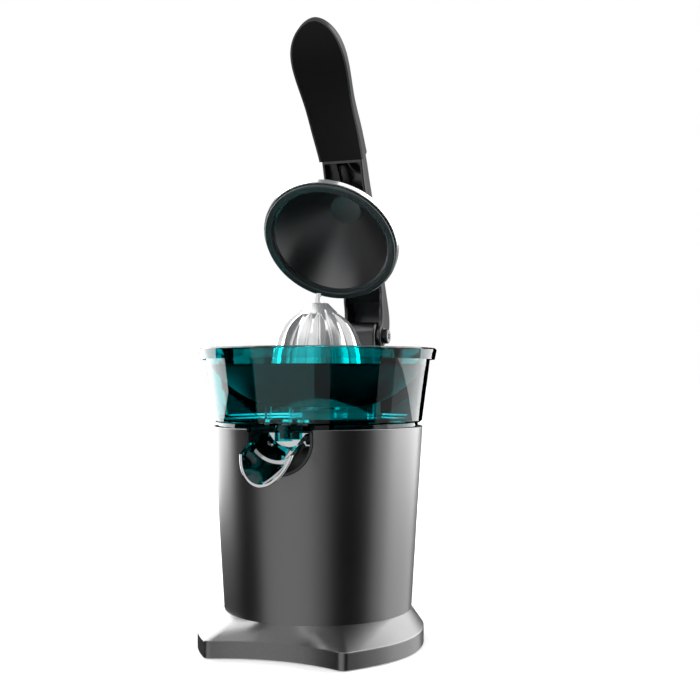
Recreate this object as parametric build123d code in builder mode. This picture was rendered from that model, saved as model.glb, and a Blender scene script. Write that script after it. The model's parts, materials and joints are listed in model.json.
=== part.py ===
from build123d import *
import os
from math import acos, atan2, cos, degrees, pi, radians, sin, tan

# Lever citrus juice press, motor driven. Millimetres, +Z up.
# Origin: on the reamer's axis, in the plane that the rubber feet stand on.
# -Y is the front, where the spout is, and +Y is the rear, where the lever is hinged.

# ---------------------------------------------------------------- driving dimensions

clearance = 0.1  # between fixed pieces that seat in each other
running_gap = 0.05  # radial, between a shaft and its bush

# body shell
shell_bottom_z = 25.6
shell_h = 143.6
shell_bottom_r = 74.5
shell_top_r = 83.5
shell_wall = 1.0
shell_seat_h = 7.0  # spigot of the base inside the shell
shell_edge = 0.35  # chamfer on the shell's visible edges
shell_top_z = shell_bottom_z + shell_h

# base, whose outline stands out round the shell's foot
base_bottom_z = 0.8
base_wall_top_z = 13.2
base_wall = 2.6
base_side_x = shell_bottom_r + 13.1  # widest half-width of the base
base_side_y = -17.0  # where the base is widest
base_rear_y = shell_bottom_r + 11.5
base_front_y = -shell_bottom_r - 5.9  # middle of the hollow front edge
base_corner_x = shell_bottom_r - 20.5
base_corner_y = -shell_bottom_r - 17.8
base_corner_fillet = 6.0
base_edge_fillet = 1.0
base_floor_z = shell_bottom_z - 4.6
base_floor_t = 2.5
base_hatch_r = 34.0  # hole in the base's floor under the motor
base_boss_r = 4.0
plate_lift = 1.2  # bottom cover above the base's lower edge
plate_t = 2.5
plate_screw_r = 1.5
plate_screw_l = 9.0
plate_screw_head_r = 2.8
plate_screw_head_h = 1.6
foot_r = 9.0
foot_seat = 1.2  # depth of the feet's seats in the bottom cover
foot_chamfer = 0.5
foot_places = ((base_corner_x - 2.0, base_corner_y + 24.3), (shell_bottom_r - 19.5, shell_bottom_r - 30.5))
vent_l = 22.0
vent_w = 2.4
vent_pitch = 5.0
vent_columns = 8
gland_r = 4.0
gland_z = 6.5
gland_groove = 0.8
gland_flange = 1.2
cord_hole_r = 2.4

# deck under the juice tank
deck_top_z = shell_top_z - 3.2
deck_t = 3.0
deck_skirt_h = 9.0
deck_skirt_t = 2.0
deck_boss_r = 13.0
deck_boss_h = 15.5
deck_boss_top_z = deck_top_z + deck_boss_h
leg_place = 43.0  # legs stand at (+-leg_place, +-leg_place)
leg_r = 5.0
leg_screw_r = 2.0
leg_screw_l = 16.0
leg_screw_head_r = 3.6
leg_screw_head_h = 2.4

# spout and its opening, set out from the shell's upper edge
cutout_half_w = 26.3
cutout_h = 34.2
cutout_bottom_z = shell_top_z - cutout_h
pocket_back_y = -shell_top_r + 29.5
pocket_wall = 1.7
pocket_reach = 0.5  # how far its mouth stands out of the shell
spout_slope = 22.5
spout_r = 21.5  # outside radius of the trough's floor
spout_wall = 2.2
spout_rear_wall = 3.6
spout_lip_over = 20.0  # length drawn past the lip before it is cut to shape
spout_lip_fillet = 0.8
spout_depth = 16.8
spout_lip_y = -shell_top_r - 32.5
spout_lip_z = cutout_bottom_z - 6.0
spout_lip_back = 10.5  # how far the side edges end behind the lip
spout_lip_rise = 20.0  # and above it
spout_step_y = -shell_top_r + 2.5
spout_rear_y = pocket_back_y - 5.0
spout_top_z = deck_top_z
spout_rear_top_z = deck_top_z - 4.5
spout_pivot_y = spout_rear_y - 9.0
spout_pivot_z = spout_top_z - 8.0
spout_pin_r = 2.0
spout_pin_l = 11.6
spout_pin_socket = 1.6  # how far the pins go into the pocket's walls

# juice tank
tank_lift = 3.3  # its floor above the shell's edge
tank_h = 58.3
tank_bottom_z = shell_top_z + tank_lift
tank_top_z = tank_bottom_z + tank_h
tank_bottom_r = shell_top_r - 0.5
tank_flare = 6.6  # how far the wall leans out
tank_neck_r = tank_bottom_r + tank_flare  # wall under the rim
tank_rim_w = 5.4
tank_rim_r = tank_neck_r + tank_rim_w
tank_rim_bottom_r = tank_rim_r - 1.5
tank_rim_h = 8.8
tank_rim_t = 1.9
tank_wall = 2.2
tank_floor_t = 2.4
tank_foot_r = shell_top_r - 3.7
tank_foot_t = 2.4
tank_hub_r = 23.5
tank_hub_top_z = deck_boss_top_z + 3.1
tank_chimney_r = 11.5
tank_chimney_top_z = tank_hub_top_z + 9.4
outlet_y = -tank_bottom_r + 12.0
outlet_r = 6.8
outlet_bore_r = 5.2
outlet_bottom_z = tank_bottom_z - 12.0
peg_y = outlet_y + 9.8
peg_r = 2.3
peg_bottom_z = tank_bottom_z - 7.7
rib_t = 2.0
rib_inner_r = 50.0
rib_top_z = tank_bottom_z + 23.5
post_r = 44.0
post_w = 7.0
post_t = 3.0

# strainer, which rests on the tank's hub
strainer_floor_z = tank_hub_top_z + 0.2
strainer_t = 2.0
strainer_flat_r = 38.0
strainer_rim_r = tank_neck_r - 4.4
strainer_rim_z = tank_top_z - 14.8
strainer_mid_r = 64.0
strainer_mid_z = strainer_floor_z + 11.2
strainer_collar_r = tank_chimney_r + 2.5
strainer_collar_top_z = tank_chimney_top_z + 3.5
slot_count = 24
slot_w = 1.6
slot_inner_r = tank_hub_r + 2.0
slot_outer_r = strainer_flat_r - 2.0

# reamer, with its heights counted from its lower edge
cone_bottom_z = strainer_floor_z + 6.2
cone_bottom_r = 40.2
cone_cap_z = cone_bottom_z + 76.3
cone_cap_r = 7.9
cone_shoulder_z = cone_bottom_z + 67.3
cone_shoulder_r = 16.9
cone_dome_z = cone_bottom_z + 45.3
cone_dome_r = 33.6
cone_cavity_r = 31.0
cone_cavity_mid_r = 24.5
cone_cavity_mid_z = cone_bottom_z + 41.0
cone_cavity_top_r = 11.5
cone_cavity_top_z = cone_bottom_z + 57.0
flute_count = 16  # every fourth one is long and starts higher up the cap
flute_half_angle = 36.0
flute_root_r = 0.9
flute_reach = 14.0
flute_start = (15.3, cone_bottom_z + 70.0)  # radius and height of the valley, from the cap down
long_flute_start = (12.8, cone_bottom_z + 72.4)
flute_neck = (17.9, cone_bottom_z + 63.5)
long_flute_neck = (16.4, cone_bottom_z + 65.0)
flute_valley = (
    (21.0, cone_bottom_z + 57.0),
    (27.0, cone_bottom_z + 44.8),
    (32.2, cone_bottom_z + 25.0),
    (34.0, cone_bottom_z - 3.0),
)
spike_top_z = cone_cap_z + 8.2
spike_w = 5.4
spike_tip_w = 3.8
spike_fin_t = 1.4
press_travel = 2.5  # how far a pressed fruit pushes the reamer and its spindle down
hub_r = 8.5
hub_bottom_z = strainer_collar_top_z + press_travel + 0.6
hub_top_z = cone_cavity_top_z - 1.0
hub_web_t = 2.0
hub_web_count = 6

# drive, hung from the deck
spindle_r = 4.0
spindle_top_z = hub_top_z - 9.0
spindle_shoulder_z = hub_bottom_z  # the drive flats start here
spindle_flat = 3.2  # distance of the two drive flats from the axis
centre_distance = 30.0
slow_teeth = 36
slow_pinion_teeth = 12
fast_teeth = 48
fast_pinion_teeth = 12
pressure_angle = 20.0
backlash = 0.16  # thinning of each tooth on its pitch circle
gear_plate_z = deck_top_z - 30.0
gear_plate_t = 2.5
gear_plate_r = 45.0
gear_plate_y = 3.0
spindle_bottom_z = gear_plate_z + 1.0
slow_gear_z = gear_plate_z + 12.5
slow_gear_w = 7.5
slow_pinion_z = gear_plate_z + 8.5
slow_pinion_w = 13.0
case_r = 42.0
case_wall = 2.2
case_top_z = deck_top_z - 4.5
case_lug_r = 4.5
case_screw_r = 1.5
motor_plate_z = gear_plate_z - 18.0
motor_plate_t = 2.5
fast_gear_z = motor_plate_z + 8.0
fast_gear_w = 5.5
fast_pinion_z = motor_plate_z + 6.5
fast_pinion_w = 8.5
axle_r = 2.5
motor_r = 29.0
motor_h = 56.0
motor_bottom_z = motor_plate_z - motor_h
motor_can_t = 1.5
motor_cap_t = 2.5
motor_cap_boss_h = 6.0
magnet_outer_r = motor_r - 1.6
magnet_inner_r = magnet_outer_r - 6.9
magnet_h = 36.0
rotor_r = magnet_inner_r - 1.0
rotor_h = 30.0
rotor_slots = 8
motor_middle_z = motor_plate_z - 26.0
motor_shaft_r = 2.5
motor_shaft_top_z = fast_pinion_z + fast_pinion_w + 0.4
motor_bush_r = 5.0
standoff_r = 4.0
standoff_places = ((34.0, -14.0), (36.0, 22.0))  # mirrored in X
bush_r = 7.0
lower_bush_bottom_z = gear_plate_z - 1.0
lower_bush_top_z = gear_plate_z + 5.5
upper_bush_bottom_z = deck_top_z - 2.5
upper_bush_h = 11.0
slider_z = gear_plate_z + 8.4
slider_t = 2.6
slider_r = 11.0
slider_skirt = 2.4
slider_arm_l = 33.0
slider_arm_w = 7.0
switch_x = -30.0
switch_l = 12.8
switch_w = 6.0
switch_bottom_z = gear_plate_z - 6.0
switch_top_z = gear_plate_z + 5.0
button_r = 1.1
spring_r = bush_r + 1.1
spring_wire_r = 0.45
spring_turns = 3.0

# press cup on the lever, closed over the reamer
cup_apex_z = spike_top_z + 1.7
cup_depth = 53.3
cup_rim_z = cup_apex_z - cup_depth
cup_rim_r = 55.9
cup_lip_w = 6.0
cup_lip_t = 5.2
cup_lip_round = 1.2
cup_opening_r = 48.4
cup_bulge_r = 34.5
cup_bulge_z = cup_apex_z - 27.2
cup_apex_r = 13.4
cup_liner_t = 2.0
cup_liner_rim_t = 1.4
cup_shell_r = 57.5
cup_shell_bottom_z = cup_rim_z + 3.6
cup_shell_band_h = 4.2  # upright band, below the cone
cup_shell_t = 1.0
cup_shell_mid_r = 38.0
cup_shell_mid_z = cup_apex_z - 20.5
cup_shell_top_z = cup_apex_z + 5.8
cup_mount_r = 14.0
cup_neck_r = cup_mount_r - 0.6  # in the outer cup's hole
cup_screw_r = 2.5
cup_screw_l = 15.0
cup_screw_head_r = 4.5
cup_screw_head_h = 2.8
cup_screw_y = 10.8

# hinge
hinge_y = tank_rim_r + 18.6
hinge_z = tank_top_z + 13.9
open_angle = 49.5  # rest pose, counted from closed
hinge_pin_r = 4.0
hinge_bush_r = hinge_pin_r + 2.0
hinge_bush_l = 7.0
hinge_flange_t = 0.9
hinge_flange_w = 2.0
hinge_head_r = 6.6
hinge_head_h = 4.4
hinge_washer_r = 7.6
hinge_washer_t = 0.9
hinge_screw_r = 2.0
hinge_screw_l = 14.0

# hinge tower
tower_half_w = 14.0
tower_r = 13.0
tower_foot_bottom_z = shell_top_z - 77.2
tower_foot_top_z = shell_top_z - 6.2
tower_knee_z = shell_top_z - 1.2  # rear face above, slanted foot below
tower_knee_r = 24.0
tower_throat_r = 6.0
tower_foot_reach = 13.0  # the foot's lower end, behind the shell's lower radius
tower_edge_fillet = 2.5
tower_screw_zs = (tower_foot_bottom_z + 20.0, tower_foot_top_z - 15.0)
tower_screw_x = 8.0
tower_screw_r = 2.0
tower_screw_l = 16.0
doubler_y = min(shell_bottom_r, shell_top_r) - 0.5

# lever, drawn closed; outline points are (Y, Z), set out from the cup's apex or from the hinge
grip_inner_y = -38.0
ear_inner_x = tower_half_w + hinge_flange_t + 0.3
ear_t = 3.2
ear_r = 9.5
arm_half_w = ear_inner_x + ear_t
arm_wall = 2.2
arm_edge_fillet = 1.6
arm_web_end_z = hinge_z + 14.8  # the rear web stops here, clear of the tower
arm_crown = (
    (-37.9, cup_apex_z + 32.4),
    (-25.8, cup_apex_z + 30.1),
    (-14.7, cup_apex_z + 27.1),
    (0.4, cup_apex_z + 23.9),
    (5.2, cup_apex_z + 21.7),
    (hinge_y - 32.1, hinge_z + 35.9),
)
arm_hump = ((hinge_y - 16.6, hinge_z + 31.9), (hinge_y - 1.6, hinge_z + 26.9))
arm_rear = (hinge_y + 8.7, hinge_z + 17.3)
arm_throat = (
    (hinge_y - 13.0, hinge_z + 8.7),
    (hinge_y - 19.3, hinge_z + 13.9),
    (hinge_y - 27.4, hinge_z + 18.0),
)
arm_belly = ((hinge_y - 38.8, hinge_z + 25.1), (-4.2, cup_apex_z + 9.7))
arm_chin = ((-21.2, cup_apex_z + 12.9), (-37.9, cup_apex_z + 19.0))
core_front_y = grip_inner_y + 2.4
core_rear_y = -cup_mount_r - 1.0
core_boss_y = -30.0  # the middle boss's round end
core_boss_w = 7.2
core_boss_z = cup_apex_z + 17.0
core_rib_z = core_boss_z + 2.5
core_flat_rib = (-8.5, 5.5)  # middle and width in X
core_curved_rib_t = 1.6
core_curved_rib = ((5.4, core_front_y), (7.8, -28.5), (arm_half_w - arm_wall, -23.5))
cover_front_y = cup_mount_r + 1.0
cover_rear_y = hinge_y - 21.6
cover_lift = 1.2  # above the arm's lower edge
cover_t = 2.0

# grip; its side outline runs on past both ends, and the plan outline cuts it
grip_tip_y = -159.0
grip_under = (
    (-30.0, cup_apex_z + 17.1),
    (-57.9, cup_apex_z + 20.1),
    (-90.3, cup_apex_z + 20.8),
    (-122.7, cup_apex_z + 21.6),
    (-141.0, cup_apex_z + 24.0),
    (-164.0, cup_apex_z + 38.3),
)
grip_crown = (
    (-30.0, cup_apex_z + 32.7),
    (-70.0, cup_apex_z + 31.4),
    (-105.0, cup_apex_z + 30.4),
    (-135.0, cup_apex_z + 31.8),
    (-164.0, cup_apex_z + 42.3),
)
grip_plan = ((20.0, -38.0), (20.9, -62.0), (21.3, -90.0), (23.4, -118.0), (22.4, -135.5), (15.5, -150.5))
grip_edge_fillet = 2.5
pad_inset = 1.6
pad_t = 2.2
tang_half_w = 8.0
tang_t = 3.0
tang_z = cup_apex_z + 25.4
tang_tip_y = -118.0
grip_screw_ys = (-62.0, -104.0)
grip_screw_r = 1.5
grip_screw_l = 4.2
grip_screw_head_r = 3.2
grip_screw_head_h = 1.8

os.makedirs("parts", exist_ok=True)


# ---------------------------------------------------------------- shared shapes


def shell_radius(z):
    """Outside radius of the tapered body shell at a height."""
    taper = (shell_top_r - shell_bottom_r) / (shell_top_z - shell_bottom_z)
    return shell_bottom_r + taper * (z - shell_bottom_z)


def both_sides(places):
    """The places and their mirror images in X."""
    return [(side * x, y) for x, y in places for side in (1, -1)]


def four_corners(x, y):
    """The four places at plus and minus x and y."""
    return both_sides(((x, y), (x, -y)))


def base_outline(inset=0):
    """The base seen from above: hollow front edge, two front corners, full sides and rear."""
    corner_x = base_corner_x - 0.28 * inset
    corner_y = base_corner_y + 1.23 * inset
    side_x = base_side_x - inset
    with BuildSketch() as outline:
        with BuildLine():
            ThreePointArc((-corner_x, corner_y), (0, base_front_y + inset), (corner_x, corner_y))
            for side in (1, -1):
                Bezier(
                    (side * corner_x, corner_y),
                    (side * (base_corner_x + 20.5 - 0.9 * inset), base_corner_y + 24.7 + 0.3 * inset),
                    (side * side_x, base_side_y - 28.0),
                    (side * side_x, base_side_y),
                )
            rear = base_rear_y - base_side_y - inset
            EllipticalCenterArc((0, base_side_y), side_x, rear, start_angle=0, arc_size=180)
        make_face()
        fillet(outline.vertices().sort_by(Axis.Y)[:2], base_corner_fillet)
    return outline.sketch


def body_ring(outline_edges, radius):
    """A circle cut into arcs that face the outline's edges, so that a loft joins them without twist."""
    with BuildLine() as ring:
        for edge in outline_edges:
            on_circle = [Vector((edge @ t).X, (edge @ t).Y).normalized() * radius for t in (0, 0.5, 1)]
            ThreePointArc(*on_circle)
    return ring.line


def tooth_half_angle(radius, module, teeth):
    """Half of the angle that an involute tooth takes at a radius, in radians."""
    pitch_r = module * teeth / 2
    at_pitch = radians(pressure_angle)
    at = acos(min(1, pitch_r * cos(at_pitch) / radius))
    half = pi / (2 * teeth) - backlash / (2 * pitch_r)
    return half + (tan(at_pitch) - at_pitch) - (tan(at) - at)


def gear_face(plane, module, teeth, turn=0):
    """A spur gear's outline with involute flanks, the first tooth turned from +X by turn degrees."""
    pitch_r = module * teeth / 2
    root_r = pitch_r - 1.25 * module
    tip_r = pitch_r + module
    flank_foot = max(root_r, pitch_r * cos(radians(pressure_angle)))
    radii = (root_r - 0.2 * module, flank_foot, (flank_foot + tip_r) / 2, tip_r)
    halves = [tooth_half_angle(max(r, flank_foot), module, teeth) for r in radii]
    flank = [(r * cos(a), r * sin(a)) for r, a in zip(radii, halves)]
    tooth = [(x, -y) for x, y in flank] + flank[::-1]
    with BuildSketch(plane) as face:
        Circle(root_r)
        with PolarLocations(0, teeth, start_angle=turn):
            Polygon(*tooth, align=None)
    return face.sketch


def screw(head_r, head_h, shank_r, shank_l, recess_r):
    """A pan-head screw at the origin, its head standing on Z=0, with a cross recess."""
    with BuildPart(mode=Mode.PRIVATE) as one:
        with BuildSketch():
            Circle(shank_r)
        extrude(amount=-shank_l)
        with BuildSketch():
            Circle(head_r)
        extrude(amount=head_h)
        fillet(one.faces().sort_by(Axis.Z)[-1].edges(), head_h * 0.35)
        with BuildSketch(Plane.XY.offset(head_h)):
            Rectangle(2 * recess_r, 0.5 * recess_r)
            Rectangle(0.5 * recess_r, 2 * recess_r)
        extrude(amount=-head_h * 0.45, mode=Mode.SUBTRACT)
    return one.part


def tube(inner_r, outer_r, low_z, high_z):
    """A plain tube on the Z axis between two heights."""
    with BuildPart() as one:
        with BuildSketch(Plane.XY.offset(low_z)):
            Circle(outer_r)
            Circle(inner_r, mode=Mode.SUBTRACT)
        extrude(amount=high_z - low_z)
    return one.part


def across(side_view, half_w):
    """A side view, drawn in the YZ plane, carried across to both sides of X=0."""
    with BuildPart() as bar:
        with BuildSketch(Plane.YZ.offset(-half_w)):
            add(side_view.sketch_local)
        extrude(amount=2 * half_w)
    return bar.part


# ---------------------------------------------------------------- base

base_plan = base_outline()
plan_edges = base_plan.faces()[0].outer_wire().order_edges()
floor_r = shell_bottom_r - base_wall
spigot_r = min(shell_bottom_r, shell_radius(shell_bottom_z + shell_seat_h)) - shell_wall - clearance
leg_places = four_corners(leg_place, leg_place)
foot_seat_z = base_bottom_z + plate_lift + foot_seat

with BuildPart() as base_housing:
    # vertical wall and the flare up to the round body
    with BuildSketch(Plane.XY.offset(base_bottom_z)):
        add(base_plan)
    extrude(amount=base_wall_top_z - base_bottom_z)
    with BuildSketch(Plane.XY.offset(base_wall_top_z)):
        add(base_plan)
    with BuildSketch(Plane.XY.offset(shell_bottom_z)):
        with BuildLine():
            add(body_ring(plan_edges, shell_bottom_r))
        make_face()
    loft(ruled=True)
    shoulder = base_housing.edges().filter_by(lambda e: abs(e.bounding_box().max.Z - base_wall_top_z) < 0.01)
    fillet(shoulder.filter_by(lambda e: e.bounding_box().size.Z < 0.01), base_edge_fillet)
    # hollow inside the wall
    with BuildSketch(Plane.XY.offset(base_bottom_z)):
        add(base_outline(base_wall))
    extrude(amount=base_wall_top_z - base_wall - base_bottom_z, mode=Mode.SUBTRACT)
    with BuildSketch(Plane.XY.offset(base_bottom_z)):
        Circle(floor_r)
    extrude(amount=base_floor_z - base_bottom_z, mode=Mode.SUBTRACT)
    # spigot that the shell slips over, round the sunk floor
    add(tube(spigot_r - base_wall, spigot_r, shell_bottom_z, shell_bottom_z + shell_seat_h))
    with BuildSketch(Plane.XY.offset(base_floor_z + base_floor_t)):
        Circle(spigot_r - base_wall)
    extrude(amount=shell_bottom_z - base_floor_z - base_floor_t, mode=Mode.SUBTRACT)
    # hatch under the motor, and the leg screws' holes
    with BuildSketch(Plane.XY.offset(base_floor_z)):
        Circle(base_hatch_r)
        with Locations(leg_places):
            Circle(leg_screw_r + clearance)
    extrude(amount=base_floor_t, mode=Mode.SUBTRACT)
    # bosses for the bottom cover's screws
    with BuildSketch(Plane.XY.offset(base_bottom_z + plate_lift + plate_t)):
        with Locations(both_sides(foot_places)):
            Circle(base_boss_r)
    extrude(amount=base_wall_top_z - base_bottom_z - plate_lift - plate_t)
    with BuildSketch(Plane.XY.offset(base_bottom_z)):
        with Locations(both_sides(foot_places)):
            Circle(plate_screw_r + clearance)
    extrude(amount=base_wall_top_z - base_bottom_z - 1, mode=Mode.SUBTRACT)
    # hole for the cord gland
    with BuildSketch(Plane.XZ.offset(-base_rear_y - 1)):
        with Locations((0, gland_z)):
            Circle(gland_r - gland_groove)
    extrude(amount=base_wall * 2 + 1, mode=Mode.SUBTRACT)
base_housing.part.label = "base_housing"
export_step(base_housing.part, "parts/base_housing.step")

with BuildPart() as base_plate:
    with BuildSketch(Plane.XY.offset(base_bottom_z + plate_lift)):
        add(base_outline(base_wall + clearance))
        with GridLocations(vent_pitch, vent_l + vent_pitch, vent_columns, 2):
            SlotOverall(vent_l, vent_w, rotation=90, mode=Mode.SUBTRACT)
        with Locations(both_sides(foot_places)):
            Circle(plate_screw_r + clearance, mode=Mode.SUBTRACT)
        # notch round the cord gland
        with Locations((0, base_rear_y - base_wall)):
            Circle(gland_r + 1, mode=Mode.SUBTRACT)
    extrude(amount=plate_t)
    # sunk seats for the feet
    with BuildSketch(Plane.XY.offset(base_bottom_z + plate_lift)):
        with Locations(both_sides(foot_places)):
            Circle(foot_r + clearance)
    extrude(amount=foot_seat, mode=Mode.SUBTRACT)
base_plate.part.label = "base_plate"
export_step(base_plate.part, "parts/base_plate.step")

plate_screw = screw(plate_screw_head_r, plate_screw_head_h, plate_screw_r, plate_screw_l, 1.2)
with BuildPart() as plate_screws:
    for x, y in both_sides(foot_places):
        add(plate_screw.moved(Location((x, y, foot_seat_z), (180, 0, 0))))
plate_screws.part.label = "plate_screws"
export_step(plate_screws.part, "parts/plate_screws.step")

with BuildPart() as rubber_feet:
    with BuildSketch():
        with Locations(both_sides(foot_places)):
            Circle(foot_r)
    extrude(amount=foot_seat_z)
    chamfer(rubber_feet.edges().group_by(Axis.Z)[0], foot_chamfer)
    # hollow over the screw's head
    with BuildSketch(Plane.XY.offset(foot_seat_z)):
        with Locations(both_sides(foot_places)):
            Circle(plate_screw_head_r + 2 * clearance)
    extrude(amount=-plate_screw_head_h - 2 * clearance, mode=Mode.SUBTRACT)
rubber_feet.part.label = "rubber_feet"
export_step(rubber_feet.part, "parts/rubber_feet.step")

with BuildPart() as cord_gland:
    wall_outer = Plane.XZ.offset(-base_rear_y)
    with BuildSketch(wall_outer):
        with Locations((0, gland_z)):
            Circle(gland_r - gland_groove - clearance)
    extrude(amount=base_wall + gland_flange)
    with BuildSketch(wall_outer, Plane.XZ.offset(-base_rear_y + base_wall + gland_flange + 3 * clearance)):
        with Locations((0, gland_z)):
            Circle(gland_r)
    extrude(amount=-gland_flange)
    with BuildSketch(wall_outer.offset(-gland_flange)):
        with Locations((0, gland_z)):
            Circle(cord_hole_r)
    extrude(amount=base_wall + 3 * gland_flange, mode=Mode.SUBTRACT)
cord_gland.part.label = "cord_gland"
export_step(cord_gland.part, "parts/cord_gland.step")

# ---------------------------------------------------------------- body shell, deck and spout pocket

cutout_top_z = shell_top_z + 1
cutout_arc_z = cutout_bottom_z + cutout_half_w
far_front = tank_rim_r + 5  # a plane in front of the body, where cuts start


def pocket_profile(plane, half_w, top_z):
    """A U standing on its round end, centred on the spout opening."""
    with BuildSketch(plane) as u:
        with Locations((0, cutout_arc_z)):
            Circle(half_w)
        with Locations((0, cutout_arc_z)):
            Rectangle(2 * half_w, top_z - cutout_arc_z, align=(Align.CENTER, Align.MIN))
    return u.sketch


def mouth_edge(edge):
    """Whether an edge is on the shell's outside, at its top or round the spout's opening."""
    middle = edge @ 0.5
    outside = abs(Vector(middle.X, middle.Y).length - shell_radius(middle.Z)) < 0.02
    low_limit = cutout_bottom_z - 1 if middle.Y < 0 else shell_top_z - 0.01
    return outside and middle.Z > low_limit


with BuildPart() as body_shell:
    with BuildSketch(Plane.XZ):
        Polygon(
            (shell_bottom_r, shell_bottom_z),
            (shell_top_r, shell_top_z),
            (shell_top_r - shell_wall, shell_top_z),
            (shell_bottom_r - shell_wall, shell_bottom_z),
            align=None,
        )
    revolve()
    with BuildSketch(Plane.XZ.offset(shell_bottom_r - 20)):
        add(pocket_profile(Plane.XY, cutout_half_w, cutout_top_z))
    extrude(amount=far_front - shell_bottom_r + 20, mode=Mode.SUBTRACT)
    # holes for the tower's screws
    with BuildSketch(Plane.XZ.offset(-shell_bottom_r + 20)):
        with Locations([(side * tower_screw_x, z) for z in tower_screw_zs for side in (1, -1)]):
            Circle(tower_screw_r + clearance)
    extrude(amount=-far_front + shell_bottom_r - 20, mode=Mode.SUBTRACT)
    chamfer(body_shell.edges().filter_by(mouth_edge), shell_edge)
body_shell.part.label = "body_shell"
export_step(body_shell.part, "parts/body_shell.step")

deck_r = shell_radius(deck_top_z - deck_skirt_h) - shell_wall - clearance
lug_places = [(x, gear_plate_y + y) for x, y in four_corners(gear_plate_r * 0.7071, gear_plate_r * 0.7071)]
pocket_half_w = cutout_half_w - clearance

with BuildPart() as top_deck:
    add(tube(bush_r, deck_r, deck_top_z - deck_t, deck_top_z))
    add(tube(deck_r - deck_skirt_t, deck_r, deck_top_z - deck_skirt_h, deck_top_z - deck_t))
    # boss that carries the upper bush and the shaft seal, and reaches up into the tank's hub
    add(tube(bush_r, deck_boss_r, deck_top_z - deck_t, upper_bush_bottom_z + upper_bush_h))
    add(tube(bush_r + 1.5, deck_boss_r, upper_bush_bottom_z + upper_bush_h, deck_boss_top_z))
    # legs down to the base's floor
    with BuildSketch(Plane.XY.offset(base_floor_z + base_floor_t)):
        with Locations(leg_places):
            Circle(leg_r)
    extrude(amount=deck_top_z - deck_t - base_floor_z - base_floor_t)
    with BuildSketch(Plane.XY.offset(base_floor_z + base_floor_t)):
        with Locations(leg_places):
            Circle(leg_screw_r + clearance)
    extrude(amount=leg_screw_l, mode=Mode.SUBTRACT)
    # opening for the spout pocket, and the gear case's screw holes
    with BuildSketch(Plane.XZ.offset(-pocket_back_y - pocket_wall - clearance)):
        add(pocket_profile(Plane.XY, cutout_half_w, cutout_top_z))
    extrude(amount=far_front, mode=Mode.SUBTRACT)
    with BuildSketch(Plane.XY.offset(deck_top_z - deck_t)):
        with Locations(lug_places):
            Circle(case_screw_r + clearance)
    extrude(amount=deck_t, mode=Mode.SUBTRACT)
top_deck.part.label = "top_deck"
export_step(top_deck.part, "parts/top_deck.step")

leg_screw = screw(leg_screw_head_r, leg_screw_head_h, leg_screw_r, leg_screw_l, 1.8)
with BuildPart() as leg_screws:
    for x, y in leg_places:
        add(leg_screw.moved(Location((x, y, base_floor_z), (180, 0, 0))))
leg_screws.part.label = "leg_screws"
export_step(leg_screws.part, "parts/leg_screws.step")

with BuildPart() as spout_pocket:
    with BuildSketch(Plane.XZ.offset(-pocket_back_y - pocket_wall)):
        add(pocket_profile(Plane.XY, pocket_half_w, deck_top_z))
    extrude(amount=far_front)
    with BuildSketch(Plane.XZ.offset(-pocket_back_y)):
        add(pocket_profile(Plane.XY, pocket_half_w - pocket_wall, deck_top_z + 1))
    extrude(amount=far_front, mode=Mode.SUBTRACT)
    # the mouth follows the shell
    with BuildSketch(Plane.XZ):
        Polygon(
            (0, cutout_bottom_z - 5),
            (shell_radius(cutout_bottom_z - 5) + pocket_reach, cutout_bottom_z - 5),
            (shell_radius(deck_top_z + 1) + pocket_reach, deck_top_z + 1),
            (0, deck_top_z + 1),
            align=None,
        )
    revolve(mode=Mode.INTERSECT)
    # sockets for the spout's pins
    with BuildSketch(Plane.YZ.offset(-pocket_half_w)):
        with Locations((spout_pivot_y, spout_pivot_z)):
            Circle(spout_pin_r + running_gap)
    extrude(amount=2 * pocket_half_w, mode=Mode.SUBTRACT)
spout_pocket.part.label = "spout_pocket"
export_step(spout_pocket.part, "parts/spout_pocket.step")

# ---------------------------------------------------------------- spout

slope = radians(spout_slope)
down_spout = Vector(0, -cos(slope), -sin(slope))
lip = Vector(0, spout_lip_y, spout_lip_z)
trough_l = (pocket_back_y - spout_lip_y) / cos(slope)
# section planes look down the spout, and their local Y points up, square to the floor
trough_start = Plane(origin=lip - down_spout * trough_l, x_dir=(1, 0, 0), z_dir=down_spout)


def trough_section(radius, depth):
    """The trough's cross-section: a bowl of a radius about the floor's centre, filled to a depth."""
    with BuildSketch() as section:
        with Locations((0, spout_r)):
            Circle(radius)
        with Locations((0, depth)):
            Rectangle(4 * spout_r, 4 * spout_r, align=(Align.CENTER, Align.MAX), mode=Mode.INTERSECT)
    return section.sketch


def trough_hollow(radius, length):
    """The space inside the trough, from its rear wall to a length along it."""
    with BuildPart() as hollow:
        with BuildSketch(trough_start):
            add(trough_section(radius, spout_depth + 5))
        extrude(amount=length)
        split(bisect_by=Plane.XZ.offset(-spout_rear_y + spout_wall), keep=Keep.TOP)
    return hollow.part


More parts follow.
